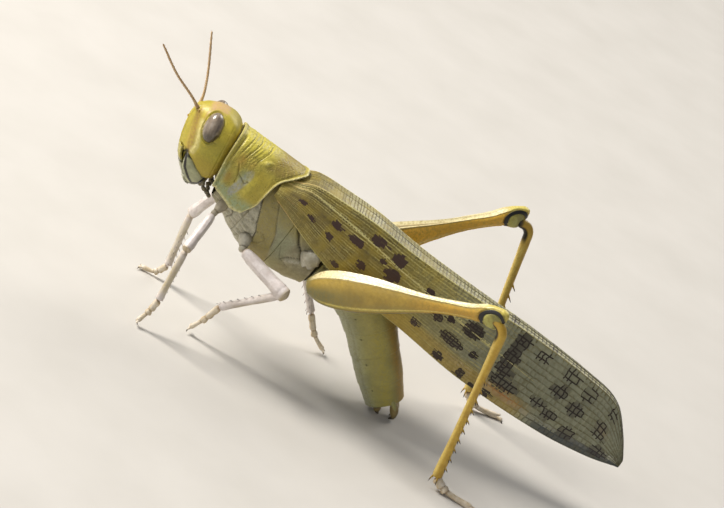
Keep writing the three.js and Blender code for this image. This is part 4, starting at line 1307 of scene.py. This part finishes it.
reshape(walkFemur, walkFemurCarve)
walkTibia = shaft(walking["tibia"], [0.42, 0.5, 0.5, 0.47, 0.46, 0.48, 0.56],
                  [0.4, 0.46, 0.45, 0.44, 0.43, 0.46, 0.54], 24, 60)
mark(walkTibia,
     joint=lambda s: max(0.7 * ramp(0.9, 0.3, s.z),
                         0.5 * ramp(0.1, 0.4, s.y) * ramp(1, 3, s.z) * ramp(8, 6, s.z)),
     ring=lambda s: 0.8 * ramp(8.25, 8.5, s.z), black=lambda s: 0.0)
smallSpine = spineShape(0.42, 0.07)
walkSpines = []
for i in range(walking["spines"]):
    z = walking["firstSpine"] + i * walking["spineStep"]
    for sign in (-1, 1):
        walkSpines.append(stand(smallSpine, (sign * 0.3, -0.36, z + 0.2 * sign), (sign * 0.5, -0.75, 0.75)))
for sign in (-1, 1):
    walkSpines.append(stand(smallSpine, (sign * 0.34, -0.4, 8.3), (sign * 0.35, -0.4, 0.95)))
walkTibia = joinPieces([walkTibia, *walkSpines])

# a foot: three joints with pads beneath, two claws and the pad between them
footStack = [(0, 0.3, 0.32), (0.12, 0.4, 0.42), (0.6, 0.4, 0.42), (0.95, 0.36, 0.38), (1.3, 0.42, 0.44),
    (1.42, 0.26, 0.26), (1.5, 0.34, 0.36), (1.75, 0.38, 0.42), (1.95, 0.4, 0.42), (2.05, 0.22, 0.24),
    (2.15, 0.26, 0.28), (2.6, 0.24, 0.27), (3.1, 0.3, 0.32), (3.35, 0.36, 0.36), (3.5, 0.2, 0.2)]
foot = stackRings([(z, wide, deep, 0, 0) for z, wide, deep in footStack], 18)
roundOff(foot, 2)
mark(foot, ring=lambda s: max(hump(s.z, 1.44, 0.14), hump(s.z, 2.07, 0.14), hump(s.z, 0.02, 0.2)),
     pad=lambda s: ramp(-0.1, -0.3, s.y), black=lambda s: 0.0)


def padSole(s):
    # the pads swell sideways and are scalloped beneath
    wide = 1 + 0.25 * ramp(0, -0.3, s.y) * ramp(2.2, 1.9, s.z)
    scallop = 0.1 * ramp(-0.1, -0.35, s.y) * abs(sin(s.z * 4.2)) * ramp(2.1, 1.9, s.z)
    return Vector((s.x * wide, s.y - scallop, s.z))


reshape(foot, padSole)
claw = stackRings([(-0.1, 0.15, 0.15, 0, 0), (0.1, 0.14, 0.15, 0, 0.03), (0.35, 0.11, 0.12, 0, 0.02),
    (0.58, 0.08, 0.08, 0, -0.1), (0.72, 0.02, 0.02, 0, -0.3)], 10)
roundOff(claw, 1)
mark(claw, black=lambda s: ramp(0.3, 0.6, s.z))
solePad = ball(16, 10, 0.2)
reshape(solePad, lambda s: Vector((s.x * 0.9, s.y * 0.6 - 0.12, s.z * 1.3 + 3.62)))
mark(solePad, black=lambda s: 0.0, pad=lambda s: 0.6)
clawPair = [stand(claw, (sign * 0.16, 0, 3.38), (sign * 0.62, -0.08, 0.8), (0, 0.2, 1)) for sign in (-1, 1)]
foot = joinPieces([foot, solePad, *clawPair])

coxa = stackRings([(0, 0.75, 0.75, 0, 0), (0.25, 1.05, 1.0, 0, 0), (0.9, 1.05, 1.0, 0, 0),
    (1.5, 0.85, 0.8, 0, 0), (1.85, 0.6, 0.6, 0, 0), (1.95, 0.5, 0.5, 0, 0), (2.05, 0.62, 0.62, 0, 0),
    (2.45, 0.6, 0.6, 0, 0), (2.6, 0.35, 0.35, 0, 0)], 20)
roundOff(coxa, 2)
mark(coxa, joint=lambda s: hump(s.z, 1.95, 0.22), ring=lambda s: hump(s.z, 0.1, 0.3), black=lambda s: 0.0)
reshape(coxa, lambda s: Vector((s.x, s.y, s.z)) * (1 + 0.03 * wander(s, 0.5)))

legs = {
    "foreleg_left": [(2.3, -18, 17.2), (3.75, -18.75, 15.8), (8, -19.94, 11.6), (8.2, -20.06, 4.1),
        (8.5, -20.6, 2), (8.9, -21.4, 0.35)],
    "foreleg_right": [(-2.3, -18, 17.2), (-3.75, -18.75, 15.8), (-6.5, -20.6, 10.3), (-6.9, -20.2, 2.2),
        (-7, -21.3, 0.7), (-7.3, -23.6, 0.35)],
    "midleg_left": [(3.2, -14, 14.9), (4.7, -13.7, 13.6), (8.2, -6.9, 12.1), (5.1, -12.86, 5.5),
        (4.5, -13.9, 2.6), (3.9, -15.1, 0.35)],
    "midleg_right": [(-3.2, -14, 14.9), (-4.7, -13.7, 13.6), (-9.4, -6.4, 12), (-8.6, -0.9, 4.4),
        (-8.4, 0.9, 1.9), (-8.2, 3.2, 0.35)],
}


def legName(leg):
    stem, side = leg.split("_")
    return stem + side.title()


for leg, (root, hip, knee, ankle, sole, tip) in legs.items():
    name = legName(leg)
    up = Vector(knee) - (Vector(hip) + Vector(ankle)) / 2
    toe = (0, 0.6 if tip[1] > ankle[1] else -0.6, 1)
    slim, stain, hipFinish = (0.7, 0.9, foreCoxaFinish) if leg.startswith("fore") else (0.84, 0.2, coxaFinish)
    thicker, beyond = (1.12, 0.55) if leg == "midleg_left" else (0.88, 0.25)
    piece = copyOf(coxa)
    reshape(piece, lambda s: Vector((s.x * slim, s.y * slim, s.z)))
    bend(piece, [toward(root, hip, -0.1), toward(hip, root, -0.35)], up, walking["coxa"])
    finishPiece(piece, name + "Hip", "walking_leg", leg + "_coxa", finish=hipFinish)
    piece = copyOf(walkFemur)
    reshape(piece, lambda s: Vector((s.x * thicker, s.y * thicker, s.z)))
    bend(piece, [toward(hip, knee, 0.2), toward(knee, hip, -beyond)], up, walking["femur"])
    finishPiece(piece, name + "Thigh", "walking_leg", leg + "_femur", finish=paleLegFinish)
    piece = copyOf(walkTibia)
    mark(piece, olive=lambda s: (stain * ramp(0.4, 1.4, s.z) * ramp(8.6, 6.5, s.z)
                                 * (0.6 + 0.4 * wander(s, 1.3))))
    bend(piece, [toward(knee, ankle, 0.1), ankle], up, walking["tibia"])
    finishPiece(piece, name + "Shin", "walking_leg", leg + "_tibia", finish=paleLegFinish)
    piece = bend(copyOf(foot), [ankle, sole, tip], toe, walking["foot"])
    finishPiece(piece, name + "Foot", "tarsus", leg + "_tarsus", finish=tarsusFinish)

# the hind legs
hind = {
    "femur": 28, "tibia": 23.2, "headRise": 1.7, "headBend": 1.5, "headStart": 1.2,
    "kneeAt": 25.95, "kneeUp": -0.75, "spines": 10, "firstSpine": 7.2, "spineStep": 1.52,
    "deep": [0.9, 2.1, 2.5, 2.45, 2.2, 1.8, 1.35, 1.02, 0.88, 1.0, 1.42, 0.7],
    "wide": [0.7, 1.35, 1.5, 1.45, 1.3, 1.1, 0.85, 0.7, 0.75, 0.9, 0.85, 0.5],
}
hindDeep, hindWide = evenly(hind["deep"]), evenly(hind["wide"])


def thighSkin(turn, share):
    closing = max(min(1, min(share, 1 - share) * hind["femur"] / 0.5), 0) ** 0.5
    return Vector((hindWide(share) * closing * rounded(sin(turn), 0.9),
                   hindDeep(share) * closing * rounded(cos(turn), 0.95), share * hind["femur"]))


def kneeSpot(s):
    # reach and angle round the knee's pivot
    z, y = s.z - hind["kneeAt"], s.y - hind["kneeUp"]
    return hypot(z, y), degrees(atan2(y, z))


def archShare(s):
    reach, angle = kneeSpot(s)
    thick = 0.34 - 0.12 * ramp(60, -10, angle)
    side = ramp(0.25, 0.45, abs(s.x) / hindWide(s.z / hind["femur"]))
    return ramp(thick + 0.07, thick - 0.07, abs(reach - 1.42)) * side


def turnOf(s):
    # 0 on top, 90 at the side, 180 below
    share = s.z / hind["femur"]
    return degrees(atan2(abs(s.x) / hindWide(share), s.y / hindDeep(share)))


def chevron(s):
    beside = abs(turnOf(s) - 92)
    inPanel = ramp(46, 38, beside) * ramp(1.8, 3.2, s.z) * ramp(21.5, 18, s.z)
    return inPanel * (0.5 + 0.5 * cos((s.z * 1.25 + beside * 0.03) * tau))


def thighCarve(s):
    turn = turnOf(s)
    middle = ramp(0.8, 2, s.z) * ramp(26.3, 24.5, s.z)
    rise = middle * (0.1 * hump(turn, 0, 7) + 0.1 * hump(turn, 42, 6)
                     + 0.09 * hump(turn, 140, 6) + 0.07 * hump(turn, 180, 8))
    rise -= middle * (0.07 * hump(turn, 21, 15) + 0.06 * hump(turn, 160, 15))
    rise -= 0.018 * chevron(s)
    reach, angle = kneeSpot(s)
    side = ramp(0.3, 0.6, abs(s.x) / hindWide(s.z / hind["femur"]))
    rise += side * (0.14 * hump(hypot(s.z - 25.4, s.y + 0.5), 0, 0.85)
                    - 0.1 * hump(reach, 1.08, 0.12) - 0.14 * hump(reach, 1.8, 0.14))
    rise += 0.012 * wander(s, 0.5) + 0.02 * wander(s, 1.6, 5)
    carved = s + Vector((s.x, s.y, 0)).normalized() * rise
    carved.y *= 1 - 0.25 * ramp(20, 23.5, s.z) * ramp(0, 0.4, s.y)
    carved.y *= 1 + 0.5 * hump(s.z, 26.2, 1.9) * ramp(-0.3, -1, s.y)
    return carved


thighMarks = {
    # painted highlight: a pale cream band along the top of the thigh
    "top": lambda s: ramp(47, 40, turnOf(s)) * ramp(0.3, 1.5, s.z) * ramp(28, 23, s.z),
    "lower": lambda s: ramp(134, 142, turnOf(s)) * ramp(24, 20, s.z) * ramp(0.2, 0.0, s.x),
    "ridge": lambda s: hump(turnOf(s), 129, 8) * ramp(1.2, 3.5, s.z) * ramp(24.5, 22, s.z),
    # the orange inner face, painted brighter to make up for the shade it stands in
    "inner": lambda s: ramp(0.0, 0.1, s.x) * ramp(44, 52, turnOf(s)),
    "stripe": lambda s: hump(turnOf(s), 30, 9) * ramp(5, 8, s.z) * ramp(21, 15, s.z) * ramp(0.0, 0.15, s.x),
    "chevron": chevron,
    "base": lambda s: (1 - 0.8 * ramp(0.0, 0.3, s.x)) * max(
        ramp(12, 2, s.z) * ramp(55, 100, turnOf(s)), 0.8 * ramp(1.6, 0.6, s.z),
        0.45 * ramp(95, 120, turnOf(s)) * ramp(24, 14, s.z)),
    "cap": lambda s: ramp(24.6, 25.6, s.z),
    "gilt": lambda s: ramp(50, 62, turnOf(s)) * ramp(13, 19, s.z) * ramp(25, 23.5, s.z),
    "lobe": lambda s: ramp(1.3, 1.1, kneeSpot(s)[0]) * ramp(0.2, 0.4, abs(s.x)),
    "lobeLight": lambda s: ramp(0.85, 0.6, hypot(s.z - 25.4, s.y + 0.55)) * ramp(0.2, 0.4, abs(s.x)),
    "black": archShare,
}
thigh = rollGrid(112, 290, thighSkin)
mark(thigh, **thighMarks)
reshape(thigh, thighCarve)

hindShin = shaft(hind["tibia"] + hind["headRise"], [0.62, 0.64, 0.57, 0.53, 0.5, 0.5, 0.52, 0.6, 0.66],
                 [0.5, 0.55, 0.52, 0.5, 0.48, 0.48, 0.5, 0.56, 0.62], 32, 96)
reshape(hindShin, lambda s: Vector((s.x, s.y, s.z - hind["headRise"])))
mark(hindShin, pale=lambda s: ramp(0.1, -0.3, s.y) * ramp(1, 3, s.z),
     black=lambda s: max(ramp(2.4, 1.3, s.z) * ramp(-0.12, -0.34, s.y), ramp(-0.9, -1.3, s.z)))


def headBend(s):
    # the top of the shin curls into the knee
    radius, start = hind["headBend"], hind["headStart"]
    if s.z > start:
        return s
    angle = (start - s.z) / radius
    return Vector((s.x, (radius + s.y) * cos(angle) - radius, start - (radius + s.y) * sin(angle)))


reshape(hindShin, headBend)
spine = spineShape(0.9, 0.15)
spur = spineShape(1.15, 0.14, 0.25)
shinSpines = []
for i in range(hind["spines"]):
    z = hind["firstSpine"] + i * hind["spineStep"]
    for sign, shift in ((-1, 0), (1, 0.6)):
        shinSpines.append(stand(spine, (sign * 0.3, 0.36, z + shift), (sign * 0.5, 0.7, 0.75)))
for sign in (-1, 1):
    shinSpines.append(stand(spur, (sign * 0.42, 0.25, 22.7), (sign * 0.6, 0.35, 0.85)))
    shinSpines.append(stand(spur, (sign * 0.3, -0.35, 22.8), (sign * 0.45, -0.4, 0.9)))
hindShin = joinPieces([hindShin, *shinSpines])
hindFoot = copyOf(foot)
reshape(hindFoot, lambda s: Vector((s.x * 1.3, s.y * 1.3, s.z)))
hindLegs = {
    "hindleg_left": [(3.5, -5.75, 16.4), (4.85, -4.7, 13.1), (16.3, 16.9, 25.9), (16.3, 17.2, 24.1),
        (13.1, 19.75, 1.5), (13.5, 21.6, 0.6), (14.4, 26.6, 0.35)],
    "hindleg_right": [(-3.5, -5.75, 16.4), (-4.85, -4.7, 13.4), (-13.2, 17.7, 28.6), (-13.2, 18.9, 26.6),
        (-13.4, 22.6, 2.3), (-13.9, 24.5, 0.8), (-15.2, 29.1, 0.35)],
}
for leg, (root, hip, knee, shin, ankle, sole, tip) in hindLegs.items():
    name = legName(leg)
    mirrored = leg.endswith("right")
    up = Vector(knee) - Vector(ankle)
    outward = Vector(knee) - (Vector(hip) + Vector(ankle)) / 2
    piece = copyOf(coxa)
    reshape(piece, lambda s: Vector((s.x * 1.3, s.y * 1.35, s.z)) * (1 - 0.35 * ramp(1.5, 2, s.z)))
    hipPath = [toward(root, hip, -0.6), toward(root, hip, 0.9), toward(hip, knee, 0.8)]
    bend(piece, hipPath, (0, 1, 0), walking["coxa"])
    knob = ball(32, 20, 1.1)
    mark(knob, joint=lambda s: 0.0, ring=lambda s: 0.0, black=lambda s: 0.0)
    reshape(knob, lambda s: s * (1 + 0.06 * wander(s, 0.7)) + Vector((copysign(4.05, root[0]), -5.66, 16.25)))
    finishPiece(joinPieces([piece, knob]), name + "Hip", "walking_leg", leg + "_coxa", finish=coxaFinish)
    piece = bend(copyOf(thigh, mirrored), [hip, knee], up, hind["femur"])
    finishPiece(piece, name + "Thigh", "hind_femur", leg + "_femur", finish=femurFinish)
    piece = bend(copyOf(hindShin, mirrored), [shin, ankle], outward, hind["tibia"])
    finishPiece(piece, name + "Shin", "hind_tibia", leg + "_tibia", finish=tibiaFinish)
    piece = bend(copyOf(hindFoot), [ankle, sole, tip], (0, 0.6, 1), walking["foot"])
    finishPiece(piece, name + "Foot", "tarsus", leg + "_tarsus", finish=tarsusFinish)

# the straight pieces have all been copied
for spare in (walkFemur, walkTibia, smallSpine, foot, claw, coxa, thigh, hindShin, spine, spur, hindFoot):
    bpy.data.objects.remove(spare)


# Floor, light and camera
print("setting the stage")
stage = {"floorSize": 6, "aim": (0, 0, 18.2), "distance": 350, "lens": 141,
         "azimuth": 94, "elevation": 22, "roll": 27}
floorFinish = Finish("floorPaper", Roughness=0.9, Specular_IOR_Level=0.2)
fibres = floorFinish.cloud(0.08, 5, 0.5)
floorFinish.feed("Base Color", floorFinish.blend(fibres, "d0ccc5", "c2beb6"))
clearSelection()
bpy.ops.mesh.primitive_plane_add(size=stage["floorSize"])
floor = bpy.context.object
floor.name = "floor"
floor.data.materials.append(floorFinish.material)

aim = levelPlace @ Vector(stage["aim"])
azimuth, elevation = radians(stage["azimuth"]), radians(stage["elevation"])
tilt = Matrix.Rotation(radians(stage["roll"]), 3, "X")
back = Vector((sin(azimuth) * cos(elevation), -cos(azimuth) * cos(elevation), sin(elevation)))
right = Vector((cos(azimuth), sin(azimuth), 0))
back, up, right = tilt @ back, tilt @ back.cross(right), tilt @ right
camera = bpy.data.objects.new("camera", bpy.data.cameras.new("camera"))
bpy.context.scene.collection.objects.link(camera)
camera.data.lens = stage["lens"]
camera.data.sensor_width = 36
camera.data.clip_start = 0.01
camera.data.clip_end = 20
camera.matrix_world = Matrix.Translation(aim + back * stage["distance"] * millimetre) @ Matrix(
    (right, up, back)).transposed().to_4x4()
bpy.context.scene.camera = camera

lamps = {  # way from the model in the camera's right, up and back, distance, size, watts, colour
    "key": ((-0.3, 0.9, 0.22), 0.55, 0.2, 4.4, (1.0, 0.96, 0.91)),
    "side": ((-0.6, 0.15, 0.8), 0.6, 0.5, 0.8, (0.96, 0.98, 1.0)),
    "rim": ((0.7, 0.6, -0.45), 0.6, 0.3, 1.3, (1.0, 0.97, 0.92)),
}
for name, (way, distance, size, watts, colour) in lamps.items():
    direction = (right * way[0] + up * way[1] + back * way[2]).normalized()
    spot = aim + direction * distance
    spot.z = max(spot.z, 0.06)
    lamp = bpy.data.objects.new(name + "Lamp", bpy.data.lights.new(name + "Lamp", "AREA"))
    bpy.context.scene.collection.objects.link(lamp)
    lamp.data.energy, lamp.data.size, lamp.data.color = watts, size, colour
    lamp.location = spot
    lamp.rotation_euler = (aim - spot).to_track_quat("-Z", "Y").to_euler()
bpy.context.scene.view_settings.view_transform = "Standard"
world = bpy.data.worlds.new("softRoom")
bpy.context.scene.world = world
world.use_nodes = True
sky = world.node_tree.nodes["Background"].inputs
sky["Color"].default_value = (0.9, 0.93, 1.0, 1)
sky["Strength"].default_value = 0.27
